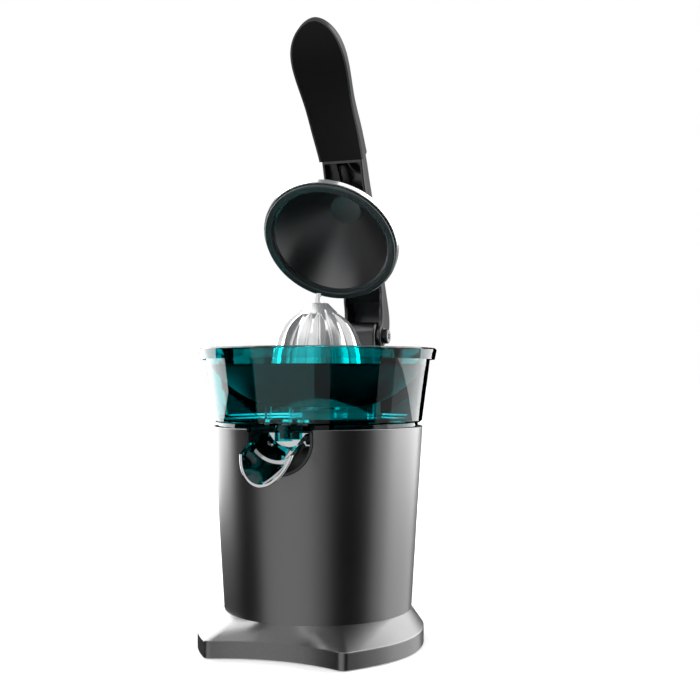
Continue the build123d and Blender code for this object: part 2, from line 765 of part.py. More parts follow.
with BuildPart() as spout_trough:
    with BuildSketch(trough_start):
        add(trough_section(spout_r, spout_depth))
    extrude(amount=trough_l + spout_lip_over)
    add(trough_hollow(spout_r - spout_rear_wall, trough_l + spout_lip_over), mode=Mode.SUBTRACT)
    # the front of the floor is thinner, behind a step
    with BuildSketch(trough_start.offset(trough_l - (spout_step_y - spout_lip_y) / cos(slope))):
        add(trough_section(spout_r - spout_wall, spout_depth + 5))
    extrude(amount=trough_l + spout_lip_over, mode=Mode.SUBTRACT)
    # rear end, level top and slanted mouth
    split(bisect_by=Plane.XZ.offset(-spout_rear_y), keep=Keep.TOP)
    split(bisect_by=Plane.XY.offset(spout_top_z), keep=Keep.BOTTOM)
    split(bisect_by=Plane(origin=lip, z_dir=(0, -spout_lip_rise, spout_lip_back)), keep=Keep.BOTTOM)
    with BuildSketch(Plane.XY.offset(spout_rear_top_z)):
        with Locations((0, spout_rear_y)):
            Rectangle(2 * outlet_r + 4, 6 * spout_wall)
    extrude(amount=spout_top_z, mode=Mode.SUBTRACT)
    # the lip's outer edge is rounded
    lip_edges = spout_trough.faces().sort_by(Axis.Y)[0].edges()
    fillet(lip_edges.sort_by(SortBy.LENGTH)[-1], spout_lip_fillet)
    # holes for the pins
    with BuildSketch(Plane.YZ.offset(-spout_r)):
        with Locations((spout_pivot_y, spout_pivot_z)):
            Circle(spout_pin_r)
    extrude(amount=2 * spout_r, mode=Mode.SUBTRACT)
spout_trough.part.label = "spout_trough"
export_step(spout_trough.part, "parts/spout_trough.step")

with BuildPart() as spout_pins:
    for side in (1, -1):
        with BuildSketch(Plane.YZ.offset(side * (pocket_half_w - pocket_wall + spout_pin_socket))):
            with Locations((spout_pivot_y, spout_pivot_z)):
                Circle(spout_pin_r)
        extrude(amount=-side * spout_pin_l)
spout_pins.part.label = "spout_pins"
export_step(spout_pins.part, "parts/spout_pins.step")

# ---------------------------------------------------------------- juice tank and strainer

rim_under_z = tank_top_z - tank_rim_h
tank_floor_z = tank_bottom_z + tank_floor_t
wall_taper = (tank_neck_r - tank_bottom_r) / (rim_under_z - tank_bottom_z)


def tank_inner_r(z):
    """Inside radius of the tank's tapered wall at a height."""
    return tank_bottom_r - tank_wall + wall_taper * (z - tank_bottom_z)


with BuildPart() as juice_tank:
    # tapered wall, floor and hollow rim
    with BuildSketch(Plane.XZ):
        with BuildLine():
            Polyline(
                (0, tank_floor_z),
                (0, tank_bottom_z),
                (tank_bottom_r - 1.5, tank_bottom_z),
                (tank_bottom_r + 0.2, tank_bottom_z + 1.5),
                (tank_neck_r, rim_under_z),
                (tank_neck_r + 0.6, tank_top_z - tank_rim_t),
                (tank_rim_r - tank_rim_t, tank_top_z - tank_rim_t),
                (tank_rim_bottom_r - tank_rim_t, rim_under_z),
                (tank_rim_bottom_r, rim_under_z),
                (tank_rim_r, tank_top_z - 1.2),
                (tank_rim_r - 1.2, tank_top_z),
                (tank_inner_r(tank_top_z) + 1.0, tank_top_z),
                (tank_inner_r(tank_top_z - 1), tank_top_z - 1),
                (tank_inner_r(tank_floor_z + 2), tank_floor_z + 2),
                (tank_inner_r(tank_floor_z) - 2, tank_floor_z),
                (0, tank_floor_z),
            )
        make_face()
    revolve()
    # hub over the deck's boss, with the chimney that keeps juice off the spindle
    add(tube(tank_hub_r - tank_wall, tank_hub_r, tank_bottom_z, tank_hub_top_z))
    add(tube(tank_chimney_r - tank_wall, tank_hub_r, tank_hub_top_z - tank_wall, tank_hub_top_z))
    add(tube(tank_chimney_r - tank_wall, tank_chimney_r, tank_hub_top_z, tank_chimney_top_z))
    with BuildSketch(Plane.XY.offset(tank_bottom_z)):
        Circle(tank_hub_r - tank_wall)
    extrude(amount=tank_floor_t, mode=Mode.SUBTRACT)
    # standing ring that drops inside the top of the shell, open round the spout
    add(tube(tank_foot_r - tank_foot_t, tank_foot_r, deck_top_z + running_gap, tank_bottom_z))
    with BuildSketch(Plane.XZ.offset(tank_foot_r / 2)):
        with Locations((0, deck_top_z)):
            Rectangle(2 * cutout_half_w, tank_bottom_z - deck_top_z, align=(Align.CENTER, Align.MIN))
    extrude(amount=tank_foot_r, mode=Mode.SUBTRACT)
    # outlet
    with BuildSketch(Plane.XY.offset(outlet_bottom_z)):
        with Locations((0, outlet_y)):
            Circle(outlet_r)
    extrude(amount=tank_bottom_z - outlet_bottom_z)
    with BuildSketch(Plane.XY.offset(outlet_bottom_z)):
        with Locations((0, outlet_y)):
            Circle(outlet_bore_r)
    extrude(amount=tank_floor_z - outlet_bottom_z, mode=Mode.SUBTRACT)
    # side ribs and the posts under the strainer
    with BuildSketch(Plane.XZ):
        Polygon(
            (rib_inner_r, tank_floor_z - 1),
            (tank_inner_r(tank_floor_z) + 1, tank_floor_z - 1),
            (tank_inner_r(rib_top_z) + 1, rib_top_z),
            (tank_inner_r(rib_top_z) - 3, rib_top_z),
            align=None,
        )
        mirror(about=Plane.YZ)
    extrude(amount=rib_t / 2, both=True)
    with BuildSketch(Plane.XY.offset(tank_floor_z - 1)):
        with Locations((post_r, 0), (-post_r, 0)):
            Rectangle(post_t, post_w)
    extrude(amount=tank_hub_top_z - tank_floor_z + 1)
    # blind hole for the peg
    with BuildSketch(Plane.XY.offset(tank_bottom_z)):
        with Locations((0, peg_y)):
            Circle(peg_r / 2)
    extrude(amount=tank_floor_t - 1, mode=Mode.SUBTRACT)
juice_tank.part.label = "juice_tank"
export_step(juice_tank.part, "parts/juice_tank.step")

with BuildPart() as tank_peg:
    with BuildSketch(Plane.XY.offset(peg_bottom_z)):
        with Locations((0, peg_y)):
            Circle(peg_r)
    extrude(amount=tank_bottom_z - peg_bottom_z)
    fillet(tank_peg.edges().group_by(Axis.Z)[0], peg_r * 0.8)
    with BuildSketch(Plane.XY.offset(tank_bottom_z)):
        with Locations((0, peg_y)):
            Circle(peg_r / 2)
    extrude(amount=tank_floor_t - 1 - clearance)
tank_peg.part.label = "tank_peg"
export_step(tank_peg.part, "parts/tank_peg.step")

with BuildPart() as strainer_bowl:
    with BuildSketch(Plane.XZ):
        with BuildLine():
            floor_top_z = strainer_floor_z + strainer_t
            inner_rim = (strainer_rim_r - strainer_t, strainer_rim_z + strainer_t)
            Polyline(
                (strainer_collar_r - strainer_t, floor_top_z),
                (strainer_collar_r - strainer_t, strainer_floor_z),
                (strainer_flat_r, strainer_floor_z),
            )
            ThreePointArc(
                (strainer_flat_r, strainer_floor_z),
                (strainer_mid_r, strainer_mid_z),
                (strainer_rim_r, strainer_rim_z),
            )
            Polyline(
                (strainer_rim_r, strainer_rim_z),
                (strainer_rim_r + 0.9, strainer_rim_z),
                (strainer_rim_r + 0.9, strainer_rim_z + strainer_t),
                inner_rim,
            )
            ThreePointArc(
                inner_rim,
                (strainer_mid_r - 1.1, strainer_mid_z + 1.7),
                (strainer_flat_r, floor_top_z),
            )
            Line((strainer_flat_r, floor_top_z), (strainer_collar_r - strainer_t, floor_top_z))
        make_face()
    revolve()
    add(tube(strainer_collar_r - strainer_t, strainer_collar_r, strainer_floor_z, strainer_collar_top_z))
    with BuildSketch(Plane.XY.offset(strainer_floor_z)):
        with PolarLocations((slot_inner_r + slot_outer_r) / 2, slot_count):
            Rectangle(slot_outer_r - slot_inner_r, slot_w)
    extrude(amount=strainer_t, mode=Mode.SUBTRACT)
strainer_bowl.part.label = "strainer_bowl"
export_step(strainer_bowl.part, "parts/strainer_bowl.step")

# ---------------------------------------------------------------- reamer

def flute_cutter(*valley):
    """A rounded V swept along a valley line, given by radii and heights."""
    with BuildPart() as cutter:
        with BuildLine(Plane.XZ) as line:
            Spline(*valley)
        start = Plane(origin=line.line @ 0, x_dir=(0, 1, 0), z_dir=line.line % 0)
        lean = radians(flute_half_angle)
        foot = (flute_root_r * cos(lean), flute_root_r * (1 - sin(lean)))
        top = (foot[0] + flute_reach * tan(lean), foot[1] + flute_reach)
        with BuildSketch(start):
            with BuildLine():
                ThreePointArc((-foot[0], foot[1]), (0, 0), foot)
                Polyline(foot, top, (-top[0], top[1]), (-foot[0], foot[1]))
            make_face()
        sweep(path=line.line)
    return cutter.part


with BuildPart() as reamer_cone:
    with BuildSketch(Plane.XZ):
        with BuildLine():
            Polyline((0, cone_cap_z), (0, cone_bottom_z), (cone_bottom_r, cone_bottom_z))
            ThreePointArc(
                (cone_bottom_r, cone_bottom_z),
                (cone_bottom_r - 1.9, (cone_bottom_z + cone_dome_z) / 2 + 2.5),
                (cone_dome_r, cone_dome_z),
            )
            ThreePointArc(
                (cone_dome_r, cone_dome_z),
                ((cone_dome_r + cone_shoulder_r) / 2 + 2.0, (cone_dome_z + cone_shoulder_z) / 2 + 2.0),
                (cone_shoulder_r, cone_shoulder_z),
            )
            Polyline((cone_shoulder_r, cone_shoulder_z), (cone_cap_r, cone_cap_z), (0, cone_cap_z))
        make_face()
    revolve()
    long_flute = flute_cutter(long_flute_start, long_flute_neck, *flute_valley)
    short_flute = flute_cutter(flute_start, flute_neck, *flute_valley)
    for i in range(flute_count):
        with Locations(Rotation(0, 0, i * 360 / flute_count)):
            add(long_flute if i % 4 == 2 else short_flute, mode=Mode.SUBTRACT)
    # hollow inside
    with BuildSketch(Plane.XZ):
        with BuildLine():
            Polyline((0, cone_cavity_top_z), (0, cone_bottom_z), (cone_cavity_r, cone_bottom_z))
            ThreePointArc(
                (cone_cavity_r, cone_bottom_z),
                (cone_cavity_mid_r + 4.6, (cone_bottom_z + cone_cavity_mid_z) / 2),
                (cone_cavity_mid_r, cone_cavity_mid_z),
            )
            Polyline(
                (cone_cavity_mid_r, cone_cavity_mid_z),
                (cone_cavity_top_r, cone_cavity_top_z),
                (0, cone_cavity_top_z),
            )
        make_face()
    revolve(mode=Mode.SUBTRACT)
    # four-finned spike
    with BuildSketch(Plane.XZ):
        Polygon(
            (-spike_w / 2, cone_cap_z - 1),
            (spike_w / 2, cone_cap_z - 1),
            (spike_tip_w / 2, spike_top_z),
            (-spike_tip_w / 2, spike_top_z),
            align=None,
        )
    extrude(amount=spike_fin_t / 2, both=True)
    with BuildSketch(Plane.YZ):
        Polygon(
            (-spike_w / 2, cone_cap_z - 1),
            (spike_w / 2, cone_cap_z - 1),
            (spike_tip_w / 2, spike_top_z),
            (-spike_tip_w / 2, spike_top_z),
            align=None,
        )
    extrude(amount=spike_fin_t / 2, both=True)
reamer_cone.part.label = "reamer_cone"
export_step(reamer_cone.part, "parts/reamer_cone.step")


def flatted_circle(radius, flat):
    """A round bar's section with two flats, flat away from the axis on each side."""
    with BuildSketch() as section:
        Circle(radius)
        Rectangle(3 * radius, 2 * flat, mode=Mode.INTERSECT)
    return section.sketch


with BuildPart() as cone_hub:
    with BuildSketch(Plane.XY.offset(hub_bottom_z)):
        Circle(hub_r)
        with PolarLocations(0, hub_web_count):
            Rectangle(cone_cavity_r, hub_web_t, align=(Align.MIN, Align.CENTER))
    extrude(amount=hub_top_z - hub_bottom_z)
    with BuildSketch(Plane.XZ):
        Polygon(
            (0, hub_bottom_z),
            (cone_cavity_r - 2.2, hub_bottom_z),
            (cone_cavity_mid_r - 0.3, cone_cavity_mid_z),
            (cone_cavity_top_r - 0.3, cone_cavity_top_z - 0.5),
            (0, cone_cavity_top_z - 0.5),
            align=None,
        )
    revolve(mode=Mode.INTERSECT)
    with BuildSketch(Plane.XY.offset(hub_bottom_z)):
        add(flatted_circle(spindle_r + running_gap, spindle_flat + running_gap))
    extrude(amount=spindle_top_z + running_gap - hub_bottom_z, mode=Mode.SUBTRACT)
cone_hub.part.label = "cone_hub"
export_step(cone_hub.part, "parts/cone_hub.step")

# ---------------------------------------------------------------- drive: spindle, slider and switch

with BuildPart() as drive_spindle:
    with BuildSketch(Plane.XY.offset(spindle_bottom_z)):
        Circle(spindle_r)
    extrude(amount=spindle_shoulder_z - spindle_bottom_z)
    with BuildSketch(Plane.XY.offset(spindle_shoulder_z)):
        add(flatted_circle(spindle_r, spindle_flat))
    extrude(amount=spindle_top_z - spindle_shoulder_z)
    chamfer(drive_spindle.faces().sort_by(Axis.Z)[-1].edges(), 0.5)
drive_spindle.part.label = "drive_spindle"
export_step(drive_spindle.part, "parts/drive_spindle.step")

slow_module = 2 * centre_distance / (slow_teeth + slow_pinion_teeth)
fast_module = 2 * centre_distance / (fast_teeth + fast_pinion_teeth)
slow_hub_bottom_z = slider_z + slider_t + clearance
slow_hub_top_z = slow_gear_z + slow_gear_w + 1.0

with BuildPart() as output_gear:
    with BuildSketch(Plane.XY.offset(slow_gear_z)):
        add(gear_face(Plane.XY, slow_module, slow_teeth))
    extrude(amount=slow_gear_w)
    add(tube(spindle_r, slider_r - 1, slow_hub_bottom_z, slow_hub_top_z))
    with BuildSketch(Plane.XY.offset(slow_hub_bottom_z)):
        Circle(spindle_r)
    extrude(amount=slow_hub_top_z - slow_hub_bottom_z, mode=Mode.SUBTRACT)
output_gear.part.label = "output_gear"
export_step(output_gear.part, "parts/output_gear.step")

with BuildPart() as spindle_clip:
    add(tube(spindle_r, spindle_r + 2.5, slow_hub_top_z, slow_hub_top_z + 1))
    with BuildSketch(Plane.XY.offset(slow_hub_top_z)):
        Rectangle(spindle_r * 2, spindle_r, align=(Align.MIN, Align.CENTER))
    extrude(amount=1, mode=Mode.SUBTRACT)
spindle_clip.part.label = "spindle_clip"
export_step(spindle_clip.part, "parts/spindle_clip.step")

with BuildPart() as press_slider:
    add(tube(spindle_r + 3 * clearance, slider_r, slider_z, slider_z + slider_t))
    add(tube(bush_r + 2.1, slider_r, slider_z - slider_skirt, slider_z))
    with BuildSketch(Plane.XY.offset(slider_z)):
        with Locations((-bush_r, 0)):
            Rectangle(slider_arm_l - bush_r, slider_arm_w, align=(Align.MAX, Align.CENTER))
    extrude(amount=slider_t)
press_slider.part.label = "press_slider"
export_step(press_slider.part, "parts/press_slider.step")

with BuildPart() as press_spring:
    coil_low = gear_plate_z + gear_plate_t + spring_wire_r + 0.02
    coil_h = slider_z - 2 * spring_wire_r - gear_plate_z - gear_plate_t - 0.04
    coil_pitch = coil_h / spring_turns
    coil = Helix(pitch=coil_pitch, height=coil_h, radius=spring_r, center=(0, 0, coil_low), mode=Mode.PRIVATE)
    with BuildSketch(Plane(origin=coil @ 0, z_dir=coil % 0)):
        RegularPolygon(spring_wire_r, 6)
    sweep(path=coil)
press_spring.part.label = "press_spring"
export_step(press_spring.part, "parts/press_spring.step")

with BuildPart() as microswitch:
    with BuildSketch(Plane.XY.offset(switch_bottom_z)):
        with Locations((switch_x, 0)):
            Rectangle(switch_l, switch_w)
    extrude(amount=switch_top_z - switch_bottom_z)
    # lips that stand on the gear plate
    with BuildSketch(Plane.XY.offset(gear_plate_z + gear_plate_t)):
        with Locations((switch_x, 0)):
            Rectangle(switch_l + 2, switch_w)
    extrude(amount=1)
    with BuildSketch(Plane.XY.offset(switch_top_z)):
        with Locations((switch_x, 0)):
            Circle(button_r + clearance)
    extrude(amount=-5, mode=Mode.SUBTRACT)
    # contact blades
    with BuildSketch(Plane.XY.offset(switch_bottom_z)):
        with Locations((switch_x - 5, 0), (switch_x, 0), (switch_x + 5, 0)):
            Rectangle(0.6, 3)
    extrude(amount=-3)
microswitch.part.label = "microswitch"
export_step(microswitch.part, "parts/microswitch.step")

with BuildPart() as switch_button:
    with BuildSketch(Plane.XY.offset(slider_z - clearance)):
        with Locations((switch_x, 0)):
            Circle(button_r)
    extrude(amount=-(slider_z - clearance - switch_top_z) - 2.2)
switch_button.part.label = "switch_button"
export_step(switch_button.part, "parts/switch_button.step")

with BuildPart() as spindle_bushes:
    add(tube(spindle_r + running_gap, bush_r, lower_bush_bottom_z, lower_bush_top_z))
    add(tube(spindle_r + running_gap, bush_r, upper_bush_bottom_z, upper_bush_bottom_z + upper_bush_h))
spindle_bushes.part.label = "spindle_bushes"
export_step(spindle_bushes.part, "parts/spindle_bushes.step")

with BuildPart() as shaft_seal:
    add(tube(spindle_r + running_gap, bush_r + 1.5, upper_bush_bottom_z + upper_bush_h, deck_boss_top_z - 1))
    chamfer(shaft_seal.edges().group_by(Axis.Z)[-1], 0.8)
shaft_seal.part.label = "shaft_seal"
export_step(shaft_seal.part, "parts/shaft_seal.step")

# ---------------------------------------------------------------- gearbox

idler_turn = 180 / fast_teeth
idler_low_turn = 180 / slow_pinion_teeth
idler_top_z = slow_pinion_z + slow_pinion_w
gear_plate_top_z = gear_plate_z + gear_plate_t

with BuildPart() as idler_gear:
    with BuildSketch(Plane.XY.offset(fast_gear_z)):
        with Locations((0, centre_distance)):
            add(gear_face(Plane.XY, fast_module, fast_teeth, idler_turn))
    extrude(amount=fast_gear_w)
    with BuildSketch(Plane.XY.offset(fast_gear_z)):
        with Locations((0, centre_distance)):
            Circle(axle_r + 3)
    extrude(amount=slow_pinion_z - fast_gear_z)
    with BuildSketch(Plane.XY.offset(slow_pinion_z)):
        with Locations((0, centre_distance)):
            add(gear_face(Plane.XY, slow_module, slow_pinion_teeth, idler_low_turn))
    extrude(amount=slow_pinion_w)
    with BuildSketch(Plane.XY.offset(fast_gear_z)):
        with Locations((0, centre_distance)):
            Circle(axle_r + running_gap)
    extrude(amount=idler_top_z - fast_gear_z, mode=Mode.SUBTRACT)
idler_gear.part.label = "idler_gear"
export_step(idler_gear.part, "parts/idler_gear.step")

with BuildPart() as gear_axle:
    with BuildSketch(Plane.XY.offset(motor_plate_z)):
        with Locations((0, centre_distance)):
            Circle(axle_r)
    extrude(amount=case_top_z - motor_plate_z)
gear_axle.part.label = "gear_axle"
export_step(gear_axle.part, "parts/gear_axle.step")

with BuildPart() as gear_plate:
    with BuildSketch(Plane.XY.offset(gear_plate_z)):
        with Locations((0, gear_plate_y)):
            Circle(gear_plate_r)
        with Locations(lug_places):
            Circle(case_lug_r)
            Circle(case_screw_r + clearance, mode=Mode.SUBTRACT)
        Circle(bush_r, mode=Mode.SUBTRACT)
        with Locations((0, centre_distance)):
            Circle(axle_r + 4, mode=Mode.SUBTRACT)
        with Locations((switch_x, 0)):
            Rectangle(switch_l + clearance, switch_w + clearance, mode=Mode.SUBTRACT)
        with Locations(both_sides(standoff_places)):
            Circle(standoff_r / 2, mode=Mode.SUBTRACT)
    extrude(amount=gear_plate_t)
gear_plate.part.label = "gear_plate"
export_step(gear_plate.part, "parts/gear_plate.step")

with BuildPart() as gear_case:
    with BuildSketch(Plane.XY.offset(gear_plate_top_z)):
        with Locations((0, gear_plate_y)):
            Circle(case_r)
    extrude(amount=case_top_z - gear_plate_top_z)
    with BuildSketch(Plane.XY.offset(gear_plate_top_z)):
        with Locations(lug_places):
            Circle(case_lug_r)
    extrude(amount=deck_top_z - deck_t - gear_plate_top_z)
    with BuildSketch(Plane.XY.offset(gear_plate_top_z)):
        with Locations((0, gear_plate_y)):
            Circle(case_r - case_wall)
    extrude(amount=case_top_z - case_wall - gear_plate_top_z, mode=Mode.SUBTRACT)
    with BuildSketch(Plane.XY.offset(gear_plate_top_z)):
        with Locations(lug_places):
            Circle(case_screw_r + clearance)
        Circle(bush_r + 1)
        with Locations((0, centre_distance)):
            Circle(axle_r)
    extrude(amount=deck_top_z - gear_plate_top_z, mode=Mode.SUBTRACT)
gear_case.part.label = "gear_case"
export_step(gear_case.part, "parts/gear_case.step")

case_screw = screw(2.8, 2.0, case_screw_r, deck_top_z - gear_plate_z - 0.5, 1.4)
with BuildPart() as case_screws:
    for x, y in lug_places:
        add(case_screw.moved(Location((x, y, gear_plate_z), (180, 0, 0))))
case_screws.part.label = "case_screws"
export_step(case_screws.part, "parts/case_screws.step")

# ---------------------------------------------------------------- motor

with BuildPart() as motor_plate:
    with BuildSketch(Plane.XY.offset(motor_plate_z)):
        with Locations((0, gear_plate_y)):
            Circle(gear_plate_r)
        Circle(motor_bush_r, mode=Mode.SUBTRACT)
        with Locations((0, centre_distance)):
            Circle(axle_r, mode=Mode.SUBTRACT)
    extrude(amount=motor_plate_t)
    with BuildSketch(Plane.XY.offset(motor_plate_z + motor_plate_t)):
        with Locations(both_sides(standoff_places)):
            Circle(standoff_r)
    extrude(amount=gear_plate_z - motor_plate_z - motor_plate_t)
    # rivet ends in the gear plate
    with BuildSketch(Plane.XY.offset(gear_plate_z)):
        with Locations(both_sides(standoff_places)):
            Circle(standoff_r / 2)
    extrude(amount=gear_plate_t)
motor_plate.part.label = "motor_plate"
export_step(motor_plate.part, "parts/motor_plate.step")

with BuildPart() as motor_can:
    add(tube(motor_r - motor_can_t, motor_r, motor_bottom_z, motor_plate_z))
    add(tube(motor_bush_r, motor_r, motor_plate_z - motor_can_t, motor_plate_z))
motor_can.part.label = "motor_can"
export_step(motor_can.part, "parts/motor_can.step")

with BuildPart() as motor_magnets:
    add(tube(magnet_inner_r, magnet_outer_r, motor_middle_z - magnet_h / 2, motor_middle_z + magnet_h / 2))
    with BuildSketch(Plane.XY.offset(motor_middle_z - magnet_h / 2)):
        Rectangle(2 * motor_r, magnet_inner_r)
    extrude(amount=magnet_h, mode=Mode.SUBTRACT)
motor_magnets.part.label = "motor_magnets"
export_step(motor_magnets.part, "parts/motor_magnets.step")

with BuildPart() as motor_cap:
    add(tube(motor_bush_r, motor_r, motor_bottom_z - motor_cap_t, motor_bottom_z))
    add(tube(motor_bush_r, motor_bush_r + 3, motor_bottom_z, motor_bottom_z + motor_cap_boss_h))
motor_cap.part.label = "motor_cap"
export_step(motor_cap.part, "parts/motor_cap.step")

with BuildPart() as motor_bushes:
    shaft_bore = motor_shaft_r + running_gap
    add(tube(shaft_bore, motor_bush_r, motor_plate_z - motor_can_t, motor_plate_z + motor_plate_t))
    add(tube(shaft_bore, motor_bush_r, motor_bottom_z - motor_cap_t, motor_bottom_z + motor_cap_boss_h))
motor_bushes.part.label = "motor_bushes"
export_step(motor_bushes.part, "parts/motor_bushes.step")

with BuildPart() as motor_shaft:
    with BuildSketch(Plane.XY.offset(motor_bottom_z - motor_cap_t)):
        Circle(motor_shaft_r)
    extrude(amount=motor_shaft_top_z - motor_bottom_z + motor_cap_t)
motor_shaft.part.label = "motor_shaft"
export_step(motor_shaft.part, "parts/motor_shaft.step")

core_low_z = motor_middle_z - rotor_h / 2
core_high_z = motor_middle_z + rotor_h / 2
with BuildPart() as rotor_core:
    with BuildSketch(Plane.XY.offset(core_low_z)):
        Circle(rotor_r)
        with PolarLocations(rotor_r * 0.62, rotor_slots):
            Circle(rotor_r * 0.16, mode=Mode.SUBTRACT)
        with PolarLocations(rotor_r * 0.62, rotor_slots):
            Rectangle(rotor_r, 1.6, align=(Align.MIN, Align.CENTER), mode=Mode.SUBTRACT)
        Circle(motor_shaft_r, mode=Mode.SUBTRACT)
    extrude(amount=rotor_h)
rotor_core.part.label = "rotor_core"
export_step(rotor_core.part, "parts/rotor_core.step")

with BuildPart() as rotor_coils:
    add(tube(motor_shaft_r + 2, rotor_r * 0.85, core_high_z, core_high_z + 7))
    add(tube(motor_shaft_r + 2, rotor_r * 0.85, core_low_z - 7, core_low_z))
    for rim in (rotor_coils.edges().group_by(Axis.Z)[-1], rotor_coils.edges().group_by(Axis.Z)[0]):
        chamfer(rim.sort_by(SortBy.LENGTH)[-1], 2.5)
rotor_coils.part.label = "rotor_coils"
export_step(rotor_coils.part, "parts/rotor_coils.step")

with BuildPart() as motor_pinion:
    with BuildSketch(Plane.XY.offset(fast_pinion_z)):
        add(gear_face(Plane.XY, fast_module, fast_pinion_teeth))
        Circle(motor_shaft_r, mode=Mode.SUBTRACT)
    extrude(amount=fast_pinion_w)
motor_pinion.part.label = "motor_pinion"
export_step(motor_pinion.part, "parts/motor_pinion.step")

# ---------------------------------------------------------------- hinge tower

with BuildPart() as shell_space:
    with BuildSketch(Plane.XZ):
        low_z = shell_bottom_z
        Polygon(
            (0, low_z),
            (shell_radius(low_z), low_z),
            (shell_radius(shell_top_z), shell_top_z),
            (0, shell_top_z),
            align=None,
        )
    revolve()

with BuildPart() as hinge_tower:
    rear_y = hinge_y + tower_r
    front_y = hinge_y - tower_r
    with BuildSketch(Plane.YZ):
        with BuildLine():
            FilletPolyline(
                (rear_y, hinge_z),
                (rear_y, tower_knee_z),
                (shell_bottom_r + tower_foot_reach, tower_foot_bottom_z),
                radius=tower_knee_r,
            )
            Polyline(
                (shell_bottom_r + tower_foot_reach, tower_foot_bottom_z),
                (shell_bottom_r - 10, tower_foot_bottom_z),
                (shell_bottom_r - 10, tower_foot_top_z),
            )
            FilletPolyline(
                (shell_bottom_r - 10, tower_foot_top_z),
                (front_y, tower_foot_top_z),
                (front_y, hinge_z),
                radius=tower_throat_r,
            )
            CenterArc((hinge_y, hinge_z), tower_r, 0, 180)
        make_face()
    extrude(amount=tower_half_w, both=True)
    sides = hinge_tower.faces().filter_by(Axis.X)
    fillet(sides.edges(), tower_edge_fillet)
    add(shell_space.part, mode=Mode.SUBTRACT)
    # bore for the bushes, and the foot's screw holes
    with BuildSketch(Plane.YZ.offset(-tower_half_w)):
        with Locations((hinge_y, hinge_z)):
            Circle(hinge_bush_r)
    extrude(amount=2 * tower_half_w, mode=Mode.SUBTRACT)
    with BuildSketch(Plane.XZ.offset(-doubler_y)):
        with Locations([(side * tower_screw_x, z) for z in tower_screw_zs for side in (1, -1)]):
            Circle(tower_screw_r)
    extrude(amount=-tower_screw_l - clearance, mode=Mode.SUBTRACT)
hinge_tower.part.label = "hinge_tower"
export_step(hinge_tower.part, "parts/hinge_tower.step")

with BuildPart() as tower_doubler:
    with BuildSketch(Plane.XZ.offset(-doubler_y)):
        middle_z = (tower_screw_zs[0] + tower_screw_zs[1]) / 2
        with Locations((0, middle_z)):
            Rectangle(2 * tower_half_w, tower_screw_zs[1] - tower_screw_zs[0] + 14)
        with Locations([(side * tower_screw_x, z) for z in tower_screw_zs for side in (1, -1)]):
            Circle(tower_screw_r + clearance, mode=Mode.SUBTRACT)
    extrude(amount=-shell_top_r)
    with BuildSketch(Plane.XZ):
        inset = shell_wall + clearance
        Polygon(
            (0, shell_bottom_z),
            (shell_bottom_r - inset, shell_bottom_z),
            (shell_top_r - inset, shell_top_z),
            (0, shell_top_z),
            align=None,
        )
    revolve(mode=Mode.INTERSECT)
tower_doubler.part.label = "tower_doubler"
export_step(tower_doubler.part, "parts/tower_doubler.step")

tower_screw = screw(3.6, 2.4, tower_screw_r, tower_screw_l, 1.8)
with BuildPart() as tower_screws:
    for z in tower_screw_zs:
        for side in (1, -1):
            add(tower_screw.moved(Location((side * tower_screw_x, doubler_y, z), (90, 0, 0))))
tower_screws.part.label = "tower_screws"
export_step(tower_screws.part, "parts/tower_screws.step")

with BuildPart() as hinge_bushes:
    for side in (1, -1):
        with BuildSketch(Plane.YZ.offset(side * (tower_half_w - hinge_bush_l))):
            with Locations((hinge_y, hinge_z)):
                Circle(hinge_bush_r)
                Circle(hinge_pin_r + running_gap, mode=Mode.SUBTRACT)
        extrude(amount=side * hinge_bush_l)
        with BuildSketch(Plane.YZ.offset(side * tower_half_w)):
            with Locations((hinge_y, hinge_z)):
                Circle(hinge_bush_r + hinge_flange_w)
                Circle(hinge_pin_r + running_gap, mode=Mode.SUBTRACT)
        extrude(amount=side * hinge_flange_t)
hinge_bushes.part.label = "hinge_bushes"
export_step(hinge_bushes.part, "parts/hinge_bushes.step")

# ---------------------------------------------------------------- lever, drawn closed and written out open

to_hinge = Location((0, hinge_y, hinge_z))
swing = to_hinge * Location((0, 0, 0), (-open_angle, 0, 0)) * to_hinge.inverse()

with BuildSketch(Plane.YZ) as arm_side:
    with BuildLine():
        crown = Polyline(*arm_crown)
        hump = Spline(arm_crown[-1], *arm_hump, arm_rear, tangents=(crown % 1, (0.45, -0.9)))
        ear_back = (hinge_y + ear_r, hinge_z)
        ear_front = (hinge_y - ear_r, hinge_z)
        Line(hump @ 1, ear_back)
        ThreePointArc(ear_back, (hinge_y, hinge_z - ear_r), ear_front)
        throat = Spline(ear_front, *arm_throat, arm_belly[0], tangents=((0, 1), (-0.97, 0.22)))
        belly = Line(*arm_belly)
        chin = Spline(arm_belly[1], *arm_chin, tangents=((-1, 0.05), (-0.95, 0.3)))
        Line(chin @ 1, arm_crown[0])
    make_face()

with BuildSketch(Plane.YZ) as arm_hollow:
    # below the arm's web, in front of its rear web, and open round the tower
    with BuildLine():
        front_y = arm_crown[0][0] + arm_wall
        web_start = (front_y, arm_crown[0][1] - arm_wall)
        web_under = Polyline(web_start, *[(y, z - arm_wall) for y, z in arm_crown[1:]])
        hump_under = Spline(
            web_under @ 1,
            *[(y, z - arm_wall) for y, z in arm_hump],
            (arm_rear[0] - arm_wall, arm_web_end_z),
            tangents=(web_under % 1, (0.3, -0.95)),
        )
        Polyline(
            hump_under @ 1,
            (hinge_y + 4 * ear_r, arm_web_end_z),
            (hinge_y + 4 * ear_r, hinge_z - 4 * ear_r),
            (front_y, hinge_z - 4 * ear_r),
            web_under @ 0,
        )
    make_face()

channel_space = across(arm_hollow, arm_half_w - arm_wall)
with BuildPart() as front_space:
    add(channel_space)
    split(bisect_by=Plane.XZ.offset(-cover_rear_y), keep=Keep.TOP)

